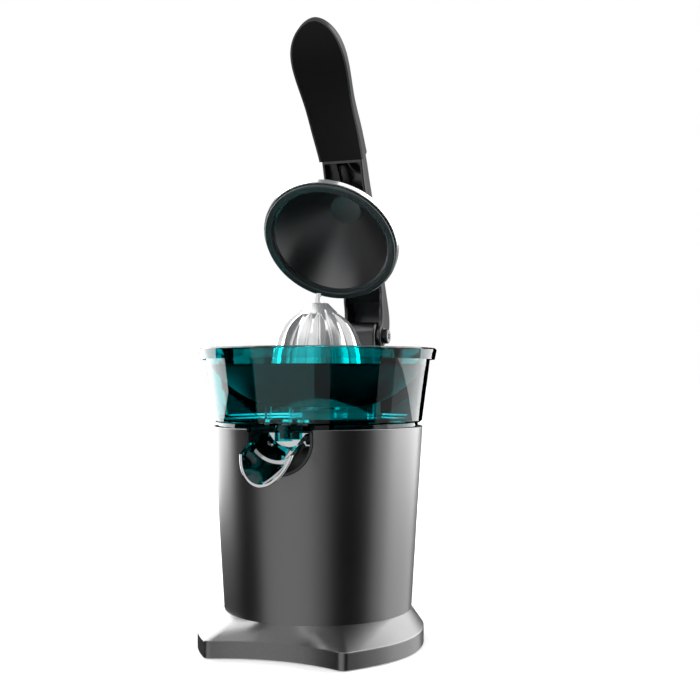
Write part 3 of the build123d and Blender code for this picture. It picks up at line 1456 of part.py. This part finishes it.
# the cup's screw stands square on the arm's straight top edge
slope_at = (cup_screw_y - arm_crown[-2][0]) / (arm_crown[-1][0] - arm_crown[-2][0])
cup_screw_z = arm_crown[-2][1] + slope_at * (arm_crown[-1][1] - arm_crown[-2][1])
arm_fall = degrees(atan2(arm_crown[-2][1] - arm_crown[-1][1], arm_crown[-1][0] - arm_crown[-2][0]))
cup_screw_at = Location((0, cup_screw_y, cup_screw_z), (-arm_fall, 0, 0))

with BuildPart() as cup_screw_hole:
    with BuildSketch(Plane(cup_screw_at)):
        Circle(cup_screw_r)
    extrude(amount=-cup_screw_l - clearance)

with BuildPart() as lever_arm:
    add(across(arm_side, arm_half_w))
    fillet(lever_arm.faces().filter_by(Axis.X).edges(), arm_edge_fillet)
    add(across(arm_hollow, ear_inner_x), mode=Mode.SUBTRACT)
    add(front_space.part, mode=Mode.SUBTRACT)
    # tang that the grip slides over
    with BuildSketch(Plane.XY.offset(tang_z)):
        with Locations((0, arm_crown[0][0])):
            Rectangle(2 * tang_half_w, arm_crown[0][0] - tang_tip_y, align=(Align.CENTER, Align.MAX))
    extrude(amount=tang_t)
    with BuildSketch(Plane.XY.offset(tang_z)):
        with Locations([(0, y) for y in grip_screw_ys]):
            Circle(grip_screw_r + clearance)
    extrude(amount=tang_t, mode=Mode.SUBTRACT)
    # holes for the hinge pin and the cup's screw
    with BuildSketch(Plane.YZ.offset(-arm_half_w)):
        with Locations((hinge_y, hinge_z)):
            Circle(hinge_pin_r)
    extrude(amount=2 * arm_half_w, mode=Mode.SUBTRACT)
    add(cup_screw_hole.part, mode=Mode.SUBTRACT)
lever_arm.part = lever_arm.part.moved(swing)
lever_arm.part.label = "lever_arm"
export_step(lever_arm.part, "parts/lever_arm.step")

with BuildPart() as cup_screw:
    add(screw(cup_screw_head_r, cup_screw_head_h, cup_screw_r, cup_screw_l, cup_screw_head_r / 2))
cup_screw.part = cup_screw.part.moved(swing * cup_screw_at)
cup_screw.part.label = "cup_screw"
export_step(cup_screw.part, "parts/cup_screw.step")

with BuildPart() as arm_core:
    # middle boss with a round end, between the grip and the cup
    with BuildSketch(Plane.XY.offset(core_boss_z)):
        with Locations((0, core_boss_y)):
            Circle(core_boss_w / 2)
            Rectangle(core_boss_w, core_rear_y - core_boss_y, align=(Align.CENTER, Align.MIN))
    extrude(amount=20)
    low_edges = arm_core.faces().sort_by(Axis.Z)[0].edges()
    fillet(low_edges.sort_by(Axis.Y)[:-1], core_boss_w * 0.3)
    # flat rib beside it and a curved one across to the arm's side
    with BuildSketch(Plane.XY.offset(core_rib_z)):
        with Locations((core_flat_rib[0], core_front_y)):
            Rectangle(core_flat_rib[1], core_rear_y - core_front_y, align=(Align.CENTER, Align.MIN))
    extrude(amount=20)
    with BuildSketch(Plane.XY.offset(core_rib_z)):
        with BuildLine():
            ThreePointArc(*core_curved_rib)
            offset(amount=core_curved_rib_t / 2, side=Side.BOTH)
        make_face()
    extrude(amount=20)
    add(across(arm_side, arm_half_w - arm_wall), mode=Mode.INTERSECT)
    add(channel_space, mode=Mode.INTERSECT)
arm_core.part = arm_core.part.moved(swing)
arm_core.part.label = "arm_core"
export_step(arm_core.part, "parts/arm_core.step")

with BuildPart() as lever_cover:
    with BuildSketch(Plane.YZ):
        fall = (arm_belly[0][1] - arm_belly[1][1]) / (arm_belly[0][0] - arm_belly[1][0])
        base_z = arm_belly[1][1] + cover_lift
        low = [base_z + fall * (y - arm_belly[1][0]) for y in (cover_front_y, cover_rear_y)]
        Polygon(
            (cover_front_y, low[0]),
            (cover_rear_y, low[1]),
            (cover_rear_y, low[1] + cover_t),
            (cover_front_y, low[0] + cover_t),
            align=None,
        )
    extrude(amount=ear_inner_x, both=True)
lever_cover.part = lever_cover.part.moved(swing)
lever_cover.part.label = "lever_cover"
export_step(lever_cover.part, "parts/lever_cover.step")

# grip: the plan outline cut to the side outline
def grip_outline(inset=0):
    """The grip seen square on: narrow at the arm, widest near its round tip."""
    right = [(x - inset, y) for x, y in grip_plan]
    left = [(-x, y) for x, y in right[::-1]]
    with BuildSketch(Plane.XY.offset(hinge_z)) as outline:
        with BuildLine():
            Spline(*right, (0, grip_tip_y + inset), *left, tangents=((0.02, -1), (0.02, 1)))
            Line(left[-1], right[0])
        make_face()
    return outline.sketch_local


with BuildSketch(Plane.YZ) as grip_side:
    with BuildLine():
        under = Spline(*grip_under)
        over = Spline(*grip_crown)
        Line(under @ 0, over @ 0)
        Line(under @ 1, over @ 1)
    make_face()

with BuildPart() as grip_block:
    add(across(grip_side, 2 * arm_half_w))
    with BuildSketch(Plane.XY.offset(hinge_z)):
        add(grip_outline())
    extrude(amount=hinge_z, mode=Mode.INTERSECT)
    long_edges = grip_block.edges().filter_by(lambda e: e.bounding_box().size.Y > 1)
    fillet(long_edges.sort_by(lambda e: (e @ 0.5).Z)[-1], grip_edge_fillet)

with BuildSketch(Plane.YZ) as pad_side:
    with BuildLine():
        under = Spline(*[(y, z - pad_t) for y, z in grip_under])
        over = Spline(*[(y, z + pad_t) for y, z in grip_under])
        Line(under @ 0, over @ 0)
        Line(under @ 1, over @ 1)
    make_face()

with BuildPart() as pad_space:
    add(across(pad_side, 2 * arm_half_w))
    with BuildSketch(Plane.XY.offset(hinge_z)):
        add(grip_outline(pad_inset))
    extrude(amount=hinge_z, mode=Mode.INTERSECT)

with BuildPart() as grip_pad:
    add(grip_block.part)
    add(pad_space.part, mode=Mode.INTERSECT)
grip_pad.part = grip_pad.part.moved(swing)
grip_pad.part.label = "grip_pad"
export_step(grip_pad.part, "parts/grip_pad.step")

with BuildPart() as grip_body:
    add(grip_block.part)
    add(pad_space.part, mode=Mode.SUBTRACT)
    # slot for the tang, and holes for the screws
    with BuildSketch(Plane.XY.offset(tang_z - clearance)):
        with Locations((0, grip_inner_y)):
            slot_l = grip_inner_y - tang_tip_y + clearance
            Rectangle(2 * (tang_half_w + clearance), slot_l, align=(Align.CENTER, Align.MAX))
    extrude(amount=tang_t + 2 * clearance, mode=Mode.SUBTRACT)
    with BuildSketch(Plane.XY.offset(hinge_z)):
        with Locations([(0, y) for y in grip_screw_ys]):
            Circle(grip_screw_head_r + clearance)
    extrude(amount=tang_z - hinge_z, mode=Mode.SUBTRACT)
    with BuildSketch(Plane.XY.offset(tang_z)):
        with Locations([(0, y) for y in grip_screw_ys]):
            Circle(grip_screw_r)
    extrude(amount=grip_screw_l + clearance, mode=Mode.SUBTRACT)
grip_body.part = grip_body.part.moved(swing)
grip_body.part.label = "grip_body"
export_step(grip_body.part, "parts/grip_body.step")

grip_screw = screw(grip_screw_head_r, grip_screw_head_h, grip_screw_r, grip_screw_l, grip_screw_r)
with BuildPart() as grip_screws:
    for y in grip_screw_ys:
        add(grip_screw.moved(Location((0, y, tang_z), (180, 0, 0))))
grip_screws.part = grip_screws.part.moved(swing)
grip_screws.part.label = "grip_screws"
export_step(grip_screws.part, "parts/grip_screws.step")

with BuildPart() as hinge_pin:
    with BuildSketch(Plane.YZ.offset(-arm_half_w)):
        with Locations((hinge_y, hinge_z)):
            Circle(hinge_pin_r)
    extrude(amount=2 * arm_half_w)
    for side in (1, -1):
        with BuildSketch(Plane.YZ.offset(side * arm_half_w)):
            with Locations((hinge_y, hinge_z)):
                Circle(hinge_screw_r)
        extrude(amount=-side * (hinge_screw_l + clearance), mode=Mode.SUBTRACT)
hinge_pin.part = hinge_pin.part.moved(swing)
hinge_pin.part.label = "hinge_pin"
export_step(hinge_pin.part, "parts/hinge_pin.step")

with BuildPart() as hinge_washers:
    for side in (1, -1):
        with BuildSketch(Plane.YZ.offset(side * arm_half_w)):
            with Locations((hinge_y, hinge_z)):
                Circle(hinge_washer_r)
                Circle(hinge_screw_r + clearance, mode=Mode.SUBTRACT)
        extrude(amount=side * hinge_washer_t)
hinge_washers.part = hinge_washers.part.moved(swing)
hinge_washers.part.label = "hinge_washers"
export_step(hinge_washers.part, "parts/hinge_washers.step")

hinge_shank_l = hinge_screw_l + hinge_washer_t
hinge_screw = screw(hinge_head_r, hinge_head_h, hinge_screw_r, hinge_shank_l, hinge_head_r / 2)
with BuildPart() as hinge_screws:
    for side in (1, -1):
        at = Location((side * (arm_half_w + hinge_washer_t), hinge_y, hinge_z), (0, side * 90, 0))
        add(hinge_screw.moved(at))
hinge_screws.part = hinge_screws.part.moved(swing)
hinge_screws.part.label = "hinge_screws"
export_step(hinge_screws.part, "parts/hinge_screws.step")

# ---------------------------------------------------------------- press cup, on the lever

lip_top_z = cup_rim_z + cup_lip_t

with BuildPart() as cup_lip_ring:
    add(tube(cup_rim_r - cup_lip_w, cup_rim_r, cup_rim_z, lip_top_z))
    fillet(cup_lip_ring.edges().group_by(Axis.Z)[0], cup_lip_round)
cup_lip_ring.part = cup_lip_ring.part.moved(swing)
cup_lip_ring.part.label = "cup_lip_ring"
export_step(cup_lip_ring.part, "parts/cup_lip_ring.step")

with BuildPart() as cup_liner:
    with BuildSketch(Plane.XZ):
        with BuildLine():
            Polyline(
                (0, cup_apex_z),
                (0, cup_apex_z + cup_liner_t),
                (cup_apex_r + 0.4, cup_apex_z + cup_liner_t),
            )
            ThreePointArc(
                (cup_apex_r + 0.4, cup_apex_z + cup_liner_t),
                (cup_bulge_r + 1.5, cup_bulge_z + 1.4),
                (cup_opening_r + cup_liner_t, lip_top_z + cup_liner_rim_t),
            )
            Polyline(
                (cup_opening_r + cup_liner_t, lip_top_z + cup_liner_rim_t),
                (cup_rim_r - 0.8, lip_top_z + cup_liner_rim_t),
                (cup_rim_r - 0.8, lip_top_z),
                (cup_opening_r, lip_top_z),
            )
            ThreePointArc((cup_opening_r, lip_top_z), (cup_bulge_r, cup_bulge_z), (cup_apex_r, cup_apex_z))
            Line((cup_apex_r, cup_apex_z), (0, cup_apex_z))
        make_face()
    revolve()
cup_liner.part = cup_liner.part.moved(swing)
cup_liner.part.label = "cup_liner"
export_step(cup_liner.part, "parts/cup_liner.step")

with BuildPart() as cup_shell:
    band_top_z = cup_shell_bottom_z + cup_shell_band_h
    with BuildSketch(Plane.XZ):
        with BuildLine():
            Line((cup_shell_r, cup_shell_bottom_z), (cup_shell_r, band_top_z))
            ThreePointArc(
                (cup_shell_r, band_top_z),
                (cup_shell_mid_r, cup_shell_mid_z),
                (cup_neck_r, cup_shell_top_z),
            )
            Line((cup_neck_r, cup_shell_top_z), (cup_neck_r, cup_shell_top_z - 1.2 * cup_shell_t))
            ThreePointArc(
                (cup_neck_r, cup_shell_top_z - 1.2 * cup_shell_t),
                (cup_shell_mid_r - 0.75 * cup_shell_t, cup_shell_mid_z - 0.75 * cup_shell_t),
                (cup_shell_r - cup_shell_t, band_top_z - 0.4 * cup_shell_t),
            )
            Polyline(
                (cup_shell_r - cup_shell_t, band_top_z - 0.4 * cup_shell_t),
                (cup_shell_r - cup_shell_t, cup_shell_bottom_z),
                (cup_shell_r, cup_shell_bottom_z),
            )
        make_face()
    revolve()
cup_shell.part = cup_shell.part.moved(swing)
cup_shell.part.label = "cup_shell"
export_step(cup_shell.part, "parts/cup_shell.step")

with BuildPart() as cup_mount:
    with BuildSketch(Plane.XY.offset(cup_apex_z + cup_liner_t)):
        Circle(cup_neck_r)
    extrude(amount=cup_shell_top_z - cup_apex_z)
    with BuildSketch(Plane.XY.offset(cup_shell_top_z + 0.1)):
        Circle(cup_mount_r)
    extrude(amount=cup_shell_top_z - cup_apex_z + 20)
    add(channel_space, mode=Mode.INTERSECT)
    add(cup_screw_hole.part, mode=Mode.SUBTRACT)
cup_mount.part = cup_mount.part.moved(swing)
cup_mount.part.label = "cup_mount"
export_step(cup_mount.part, "parts/cup_mount.step")
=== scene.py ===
import json
from math import cos, pi, radians, sin

import bpy
from mathutils import Euler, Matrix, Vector

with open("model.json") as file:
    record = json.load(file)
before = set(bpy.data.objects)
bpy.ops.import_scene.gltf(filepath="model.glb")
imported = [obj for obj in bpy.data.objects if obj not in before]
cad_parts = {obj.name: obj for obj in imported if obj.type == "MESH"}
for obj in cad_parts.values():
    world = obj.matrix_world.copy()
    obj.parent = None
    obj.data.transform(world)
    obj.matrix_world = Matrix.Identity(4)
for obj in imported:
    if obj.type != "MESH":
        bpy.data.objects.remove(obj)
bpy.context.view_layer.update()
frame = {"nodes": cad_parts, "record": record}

NODES = frame["nodes"]
SLOT_OF = {s["node"]: s["material_slot"] for s in frame["record"]["subparts"]}


# ---------------------------------------------------------------- material helpers

def new_material(name, color, metallic=0.0, roughness=0.5):
    """A Principled material, with its uniform values set on the shader's own sockets."""
    mat = bpy.data.materials.new(name)
    mat.use_nodes = True
    shader = mat.node_tree.nodes["Principled BSDF"]
    shader.inputs["Base Color"].default_value = (*color, 1)
    shader.inputs["Metallic"].default_value = metallic
    shader.inputs["Roughness"].default_value = roughness
    return mat, shader


def node(mat, kind, **props):
    """A new node in a material's or a world's tree."""
    made = mat.node_tree.nodes.new(kind)
    for key, value in props.items():
        setattr(made, key, value)
    return made


def link(mat, out, into):
    """Joins an output to an input."""
    mat.node_tree.links.new(out, into)


def coords(mat):
    """Object coordinates, in metres."""
    return node(mat, "ShaderNodeTexCoord").outputs["Object"]


def noise(mat, vector, scale, octaves, keep):
    """Noise with a number of octaves. Each has twice the scale and keeps a share of the height."""
    tex = node(mat, "ShaderNodeTexNoise")
    tex.inputs["Scale"].default_value = scale
    tex.inputs["Detail"].default_value = octaves
    tex.inputs["Roughness"].default_value = keep
    link(mat, vector, tex.inputs["Vector"])
    return tex.outputs["Fac"]


def remap(mat, value, low, high, from_low=0.25, from_high=0.75):
    """Carries a value's range over to another. Noise lies mostly between 0.25 and 0.75."""
    ramp = node(mat, "ShaderNodeMapRange")
    ramp.inputs["From Min"].default_value = from_low
    ramp.inputs["From Max"].default_value = from_high
    ramp.inputs["To Min"].default_value = low
    ramp.inputs["To Max"].default_value = high
    link(mat, value, ramp.inputs["Value"])
    return ramp.outputs["Result"]


def vary_color(mat, shader, fac, dark, light):
    """Lets the base colour wander between two colours."""
    mix = node(mat, "ShaderNodeMix", data_type="RGBA")
    mix.inputs["A"].default_value = (*dark, 1)
    mix.inputs["B"].default_value = (*light, 1)
    link(mat, fac, mix.inputs["Factor"])
    link(mat, mix.outputs["Result"], shader.inputs["Base Color"])


def shaded(color, share):
    """The colour darkened and lightened by a share."""
    return tuple(c * (1 - share) for c in color), tuple(min(1, c * (1 + share)) for c in color)


def bump(mat, shader, height, strength, depth):
    """Relief from a height, with its depth in metres."""
    relief = node(mat, "ShaderNodeBump")
    relief.inputs["Strength"].default_value = strength
    relief.inputs["Distance"].default_value = depth
    link(mat, height, relief.inputs["Height"])
    link(mat, relief.outputs["Normal"], shader.inputs["Normal"])


def around_axis(mat, along, around):
    """Coordinates wrapped round the Z axis: the angle and the height, each times its factor."""
    split = node(mat, "ShaderNodeSeparateXYZ")
    link(mat, coords(mat), split.inputs["Vector"])
    angle = node(mat, "ShaderNodeMath", operation="ARCTAN2")
    link(mat, split.outputs["Y"], angle.inputs[0])
    link(mat, split.outputs["X"], angle.inputs[1])
    turn = node(mat, "ShaderNodeMath", operation="MULTIPLY")
    turn.inputs[1].default_value = around
    link(mat, angle.outputs[0], turn.inputs[0])
    rise = node(mat, "ShaderNodeMath", operation="MULTIPLY")
    rise.inputs[1].default_value = along
    link(mat, split.outputs["Z"], rise.inputs[0])
    join = node(mat, "ShaderNodeCombineXYZ")
    link(mat, turn.outputs[0], join.inputs["X"])
    link(mat, rise.outputs[0], join.inputs["Y"])
    return join.outputs["Vector"]


# ---------------------------------------------------------------- materials

PLASTIC_IOR = 1.49
COAT_ROUGHNESS = 0.22


def steel(name, color, roughness):
    """Rolled or brushed steel with fine streaks along the roll and a light cloudiness."""
    streak_gloss, cloud_gloss = 0.02, 0.01
    mat, shader = new_material(name, color, metallic=1.0, roughness=roughness)
    streak = noise(mat, around_axis(mat, along=60.0, around=1.2), 28.0, octaves=5, keep=0.65)
    cloud = noise(mat, coords(mat), 18.0, octaves=3, keep=0.5)
    both = node(mat, "ShaderNodeMath", operation="ADD")
    link(mat, remap(mat, streak, -streak_gloss, streak_gloss), both.inputs[0])
    link(mat, remap(mat, cloud, roughness - cloud_gloss, roughness + cloud_gloss), both.inputs[1])
    link(mat, both.outputs[0], shader.inputs["Roughness"])
    vary_color(mat, shader, remap(mat, streak, 0, 1), *shaded(color, 0.05))
    return mat


def paint(name, color, metallic, roughness, fleck=0.12, coat=0.25, edge=1.0):
    """Metallic paint: fine flecks under a smooth, slightly uneven coat."""
    mat, shader = new_material(name, color, metallic=metallic, roughness=roughness)
    shader.inputs["Coat Weight"].default_value = coat
    shader.inputs["Coat Roughness"].default_value = COAT_ROUGHNESS
    shader.inputs["Specular Tint"].default_value = (edge, edge, edge, 1.0)
    fine = noise(mat, coords(mat), 2600.0, octaves=2, keep=0.5)
    cloud = noise(mat, coords(mat), 30.0, octaves=3, keep=0.5)
    flecks = remap(mat, fine, 0, 1, from_low=0.35, from_high=0.65)
    vary_color(mat, shader, flecks, *shaded(color, fleck))
    link(mat, remap(mat, cloud, roughness - 0.03, roughness + 0.04), shader.inputs["Roughness"])
    bump(mat, shader, fine, strength=0.05, depth=0.00004)
    return mat


def plastic(name, color, roughness, texture=0.15, grain=900.0, specular=0.5):
    """Moulded plastic with a fine spark-eroded texture and slightly uneven gloss."""
    mat, shader = new_material(name, color, roughness=roughness)
    shader.inputs["Specular IOR Level"].default_value = specular
    fine = noise(mat, coords(mat), grain, octaves=3, keep=0.55)
    cloud = noise(mat, coords(mat), 25.0, octaves=3, keep=0.5)
    gloss = remap(mat, cloud, max(0.02, roughness - 0.04), roughness + 0.05)
    link(mat, gloss, shader.inputs["Roughness"])
    vary_color(mat, shader, remap(mat, cloud, 0, 1), *shaded(color, 0.12))
    bump(mat, shader, fine, strength=texture, depth=0.00008)
    return mat


def clear_plastic(name, color, roughness):
    """Clear tinted plastic with faint flow marks."""
    mat, shader = new_material(name, color, roughness=roughness)
    shader.inputs["Transmission Weight"].default_value = 1.0
    shader.inputs["IOR"].default_value = PLASTIC_IOR
    flow = noise(mat, around_axis(mat, along=40.0, around=1.5), 3.0, octaves=2, keep=0.4)
    vary_color(mat, shader, remap(mat, flow, 0, 1), shaded(color, 0.04)[0], color)
    gloss = remap(mat, flow, max(0.0, roughness - 0.008), roughness + 0.01)
    link(mat, gloss, shader.inputs["Roughness"])
    return mat


def mirror_metal(name, color, roughness):
    """Plated or polished metal with a barely uneven surface."""
    mat, shader = new_material(name, color, metallic=1.0, roughness=roughness)
    wave = noise(mat, coords(mat), 60.0, octaves=2, keep=0.4)
    link(mat, remap(mat, wave, roughness * 0.7, roughness * 1.4), shader.inputs["Roughness"])
    bump(mat, shader, wave, strength=0.04, depth=0.00008)
    return mat


MATERIALS = {
    "shell_steel": steel("shell_steel", (0.215, 0.215, 0.217), 0.33),
    "base_paint": paint("base_paint", (0.19, 0.19, 0.193), 0.95, 0.30),
    "lever_paint": paint(
        "lever_paint", (0.085, 0.085, 0.087), 0.95, 0.30, coat=0.0, edge=0.35),
    "black_plastic": plastic("black_plastic", (0.006, 0.006, 0.0065), 0.34, specular=0.3),
    "pad_black": plastic(
        "pad_black", (0.003, 0.003, 0.0032), 0.42, texture=0.2, grain=1500.0, specular=0.12),
    "dark_teal_plastic": plastic(
        "dark_teal_plastic", (0.014, 0.020, 0.021), 0.24, texture=0.03),
    "teal_clear": clear_plastic("teal_clear", (0.0, 0.76, 0.79), 0.0),
    "strainer_dark": plastic("strainer_dark", (0.002, 0.012, 0.013), 0.45, specular=0.12),
    "cone_steel": paint("cone_steel", (0.92, 0.92, 0.925), 0.82, 0.17, fleck=0.02),
    "liner_steel": steel("liner_steel", (0.24, 0.24, 0.243), 0.32),
    "spout_chrome": mirror_metal("spout_chrome", (0.85, 0.86, 0.87), 0.025),
    "bright_steel": mirror_metal("bright_steel", (0.6, 0.6, 0.6), 0.14),
    "dark_steel": paint("dark_steel", (0.02, 0.02, 0.022), 0.8, 0.3),
    "screw_steel": mirror_metal("screw_steel", (0.12, 0.12, 0.12), 0.22),
    "zinc_plate": paint("zinc_plate", (0.45, 0.45, 0.43), 0.9, 0.4),
    "bush_bronze": paint("bush_bronze", (0.45, 0.30, 0.13), 0.9, 0.45),
    "magnet_ferrite": plastic("magnet_ferrite", (0.03, 0.03, 0.03), 0.6),
    "coil_copper": paint("coil_copper", (0.5, 0.2, 0.08), 0.9, 0.4),
    "gear_nylon": plastic("gear_nylon", (0.75, 0.74, 0.70), 0.5),
    "foot_rubber": plastic("foot_rubber", (0.015, 0.015, 0.015), 0.75, texture=0.4),
}

for name, obj in NODES.items():
    obj.data.materials.clear()
    obj.data.materials.append(MATERIALS[SLOT_OF[name]])


# ---------------------------------------------------------------- camera

TURN = radians(21.2)  # how far round to the picture's right the camera stands
DISTANCE = 0.879
HEIGHT = 0.2065
LIFT = radians(1.52)  # how far up it looks
SWING = radians(1.66)  # how far it looks past the axis
LENS_MM, SENSOR_MM = 56.16, 36.0
to_camera = Vector((sin(TURN), -cos(TURN), 0))
to_right = Vector((cos(TURN), sin(TURN), 0))

cam = bpy.data.cameras.new("camera")
cam.lens = LENS_MM
cam.sensor_width = SENSOR_MM
cam.clip_start = 0.01
cam_obj = bpy.data.objects.new("camera", cam)
bpy.context.scene.collection.objects.link(cam_obj)
cam_obj.location = to_camera * DISTANCE + Vector((0, 0, HEIGHT))
cam_obj.rotation_euler = Euler((pi / 2 + LIFT, 0, TURN - SWING))
bpy.context.scene.camera = cam_obj


# ---------------------------------------------------------------- studio

def bearing(angle, reach, z):
    """A point at an angle from the camera's direction, counted to the picture's right."""
    out = to_camera * cos(radians(angle)) + to_right * sin(radians(angle))
    return out * reach + Vector((0, 0, z))


def lamp(name, angle, reach, z, power):
    """A soft lamp for matt surfaces. Gloss shows the cards instead."""
    light = bpy.data.lights.new(name, "AREA")
    light.shape = "RECTANGLE"
    light.size = light.size_y = LAMP_SIZE
    light.energy = power
    obj = bpy.data.objects.new(name, light)
    bpy.context.scene.collection.objects.link(obj)
    obj.location = bearing(angle, reach, z)
    aim = Vector((0, 0, LAMP_AIM_Z)) - obj.location
    obj.rotation_euler = aim.to_track_quat("-Z", "Y").to_euler()
    obj.visible_glossy = False


def card(name, verts, faces, strength, shiny, clear):
    """A glowing card that only reflections show, or what is seen through clear plastic.

    Strength 0 is a black flag.
    """
    mesh = bpy.data.meshes.new(name)
    mesh.from_pydata(verts, [], faces)
    obj = bpy.data.objects.new(name, mesh)
    bpy.context.scene.collection.objects.link(obj)
    mat = bpy.data.materials.new(name)
    mat.use_nodes = True
    tree = mat.node_tree
    tree.nodes.clear()
    glow = tree.nodes.new("ShaderNodeEmission")
    glow.inputs["Strength"].default_value = strength
    out = tree.nodes.new("ShaderNodeOutputMaterial")
    tree.links.new(glow.outputs[0], out.inputs["Surface"])
    mesh.materials.append(mat)
    obj.visible_camera = False
    obj.visible_diffuse = False
    obj.visible_glossy = shiny
    obj.visible_transmission = clear
    obj.visible_volume_scatter = False
    obj.visible_shadow = False


def wall(name, start, stop, reach, low, high, strength=0.0, shiny=True, clear=False):
    """A curved upright card between two bearings, in strips of about WALL_STEP degrees."""
    steps = max(2, int(abs(stop - start) / WALL_STEP))
    verts = []
    for i in range(steps + 1):
        angle = start + (stop - start) * i / steps
        verts += [tuple(bearing(angle, reach, low)), tuple(bearing(angle, reach, high))]
    faces = [(2 * i, 2 * i + 1, 2 * i + 3, 2 * i + 2) for i in range(steps)]
    card(name, verts, faces, strength, shiny, clear)


def disc(name, radius, z, strength=0.0, shiny=True, clear=False):
    """A flat round card about the Z axis."""
    turns = [2 * pi * i / DISC_SIDES for i in range(DISC_SIDES)]
    verts = [(radius * cos(turn), radius * sin(turn), z) for turn in turns]
    faces = [tuple(range(DISC_SIDES))]
    card(name, verts, faces, strength, shiny, clear)


LAMP_SIZE = 1.4
LAMP_AIM_Z = 0.2
WALL_STEP = 4
DISC_SIDES = 48

lamp("lamp_front", -30, 1.4, 0.9, 22)
lamp("lamp_right", 105, 1.4, 0.8, 22)
lamp("lamp_left", -140, 1.4, 0.8, 22)
lamp("lamp_top", 0, 0.05, 1.7, 16)

# What shiny surfaces show: three tall light boxes, black between them, and a light ceiling.
REACH = 3.0
LOW, SILL, HIGH, TOP = -3.6, -0.27, 3.8, 5.0
for name, start, stop, low, high, strength in (
    ("flag_left", -108, -68, LOW, TOP, 0.0),
    ("card_front", -68, -4, LOW, HIGH, 0.64),
    ("card_middle", -4, 12, LOW, HIGH, 0.33),
    ("card_over_front", -68, 12, HIGH, TOP, 1.2),
    ("flag_front", 12, 64, LOW, TOP, 0.0),
    ("card_side", 64, 84, SILL, TOP, 1.4),
    ("card_side_low", 64, 84, LOW, SILL, 0.5),
    ("card_right", 84, 146, SILL, TOP, 3.5),
    ("card_right_low", 84, 146, LOW, SILL, 1.1),
    ("flag_back", 146, 195, LOW, TOP, 0.0),
    ("card_left", -165, -108, SILL, TOP, 3.8),
    ("flag_left_low", -165, -108, LOW, SILL, 0.0),
):
    wall(name, start, stop, REACH, low, high, strength)
disc("flag_floor", REACH, LOW)
disc("card_top", REACH, TOP, 1.2)

# What is seen through the clear tank: the front box, a light strip at the left, else black.
VEIL, VEIL_LOW, VEIL_TOP = 0.75, -0.9, 1.25
for name, start, stop, strength in (
    ("veil_left", -148, -68, 0.0),
    ("veil_front", -68, -4, 0.64),
    ("veil_right", -4, 195, 0.0),
    ("veil_light", -165, -148, 0.95),
):
    wall(name, start, stop, VEIL, VEIL_LOW, VEIL_TOP, strength, shiny=False, clear=True)
disc("veil_floor", VEIL, VEIL_LOW, shiny=False, clear=True)
disc("veil_top", VEIL, VEIL_TOP, shiny=False, clear=True)

# The world: white where it is looked at, shown by shine or seen through, and dim as a light.
AMBIENT = 0.10
world = bpy.data.worlds.new("studio")
bpy.context.scene.world = world
world.use_nodes = True
world.node_tree.nodes.clear()
path = node(world, "ShaderNodeLightPath")
shown = node(world, "ShaderNodeMath", operation="MAXIMUM")
link(world, path.outputs["Is Camera Ray"], shown.inputs[0])
link(world, path.outputs["Is Glossy Ray"], shown.inputs[1])
seen = node(world, "ShaderNodeMath", operation="MAXIMUM")
link(world, shown.outputs[0], seen.inputs[0])
link(world, path.outputs["Is Transmission Ray"], seen.inputs[1])
blend = node(world, "ShaderNodeMixShader")
link(world, seen.outputs[0], blend.inputs[0])
for into, strength in ((1, AMBIENT), (2, 1.0)):
    light = node(world, "ShaderNodeBackground")
    light.inputs["Color"].default_value = (1, 1, 1, 1)
    light.inputs["Strength"].default_value = strength
    link(world, light.outputs[0], blend.inputs[into])
link(world, blend.outputs[0], node(world, "ShaderNodeOutputWorld").inputs["Surface"])

# The floor's own light fills up to white what the lamps leave dark further out.
FLOOR_REACH = 30
GLOW_NEAR, GLOW_FAR = 0.28, 1.0
NEAR, FAR = 0.2, 0.9
floor_mesh = bpy.data.meshes.new("floor")
corners = ((-1, -1), (1, -1), (1, 1), (-1, 1))
floor_corners = [(x * FLOOR_REACH, y * FLOOR_REACH, 0) for x, y in corners]
floor_mesh.from_pydata(floor_corners, [], [(0, 1, 2, 3)])
floor = bpy.data.objects.new("floor", floor_mesh)
bpy.context.scene.collection.objects.link(floor)
floor_mat, floor_shader = new_material("floor", (0.78, 0.78, 0.78), roughness=0.9)
floor_far = node(floor_mat, "ShaderNodeVectorMath", operation="LENGTH")
link(floor_mat, coords(floor_mat), floor_far.inputs[0])
floor_fill = remap(floor_mat, floor_far.outputs["Value"], GLOW_NEAR, GLOW_FAR, NEAR, FAR)
floor_path = node(floor_mat, "ShaderNodeLightPath")
floor_seen = node(floor_mat, "ShaderNodeMath", operation="MAXIMUM")
link(floor_mat, floor_path.outputs["Is Camera Ray"], floor_seen.inputs[0])
link(floor_mat, floor_path.outputs["Is Transmission Ray"], floor_seen.inputs[1])
floor_glow = node(floor_mat, "ShaderNodeMath", operation="MULTIPLY")
link(floor_mat, floor_seen.outputs[0], floor_glow.inputs[0])
link(floor_mat, floor_fill, floor_glow.inputs[1])
floor_shader.inputs["Emission Color"].default_value = (1, 1, 1, 1)
link(floor_mat, floor_glow.outputs[0], floor_shader.inputs["Emission Strength"])
floor_mesh.materials.append(floor_mat)
floor.visible_glossy = False

bpy.context.scene.view_settings.view_transform = "Standard"
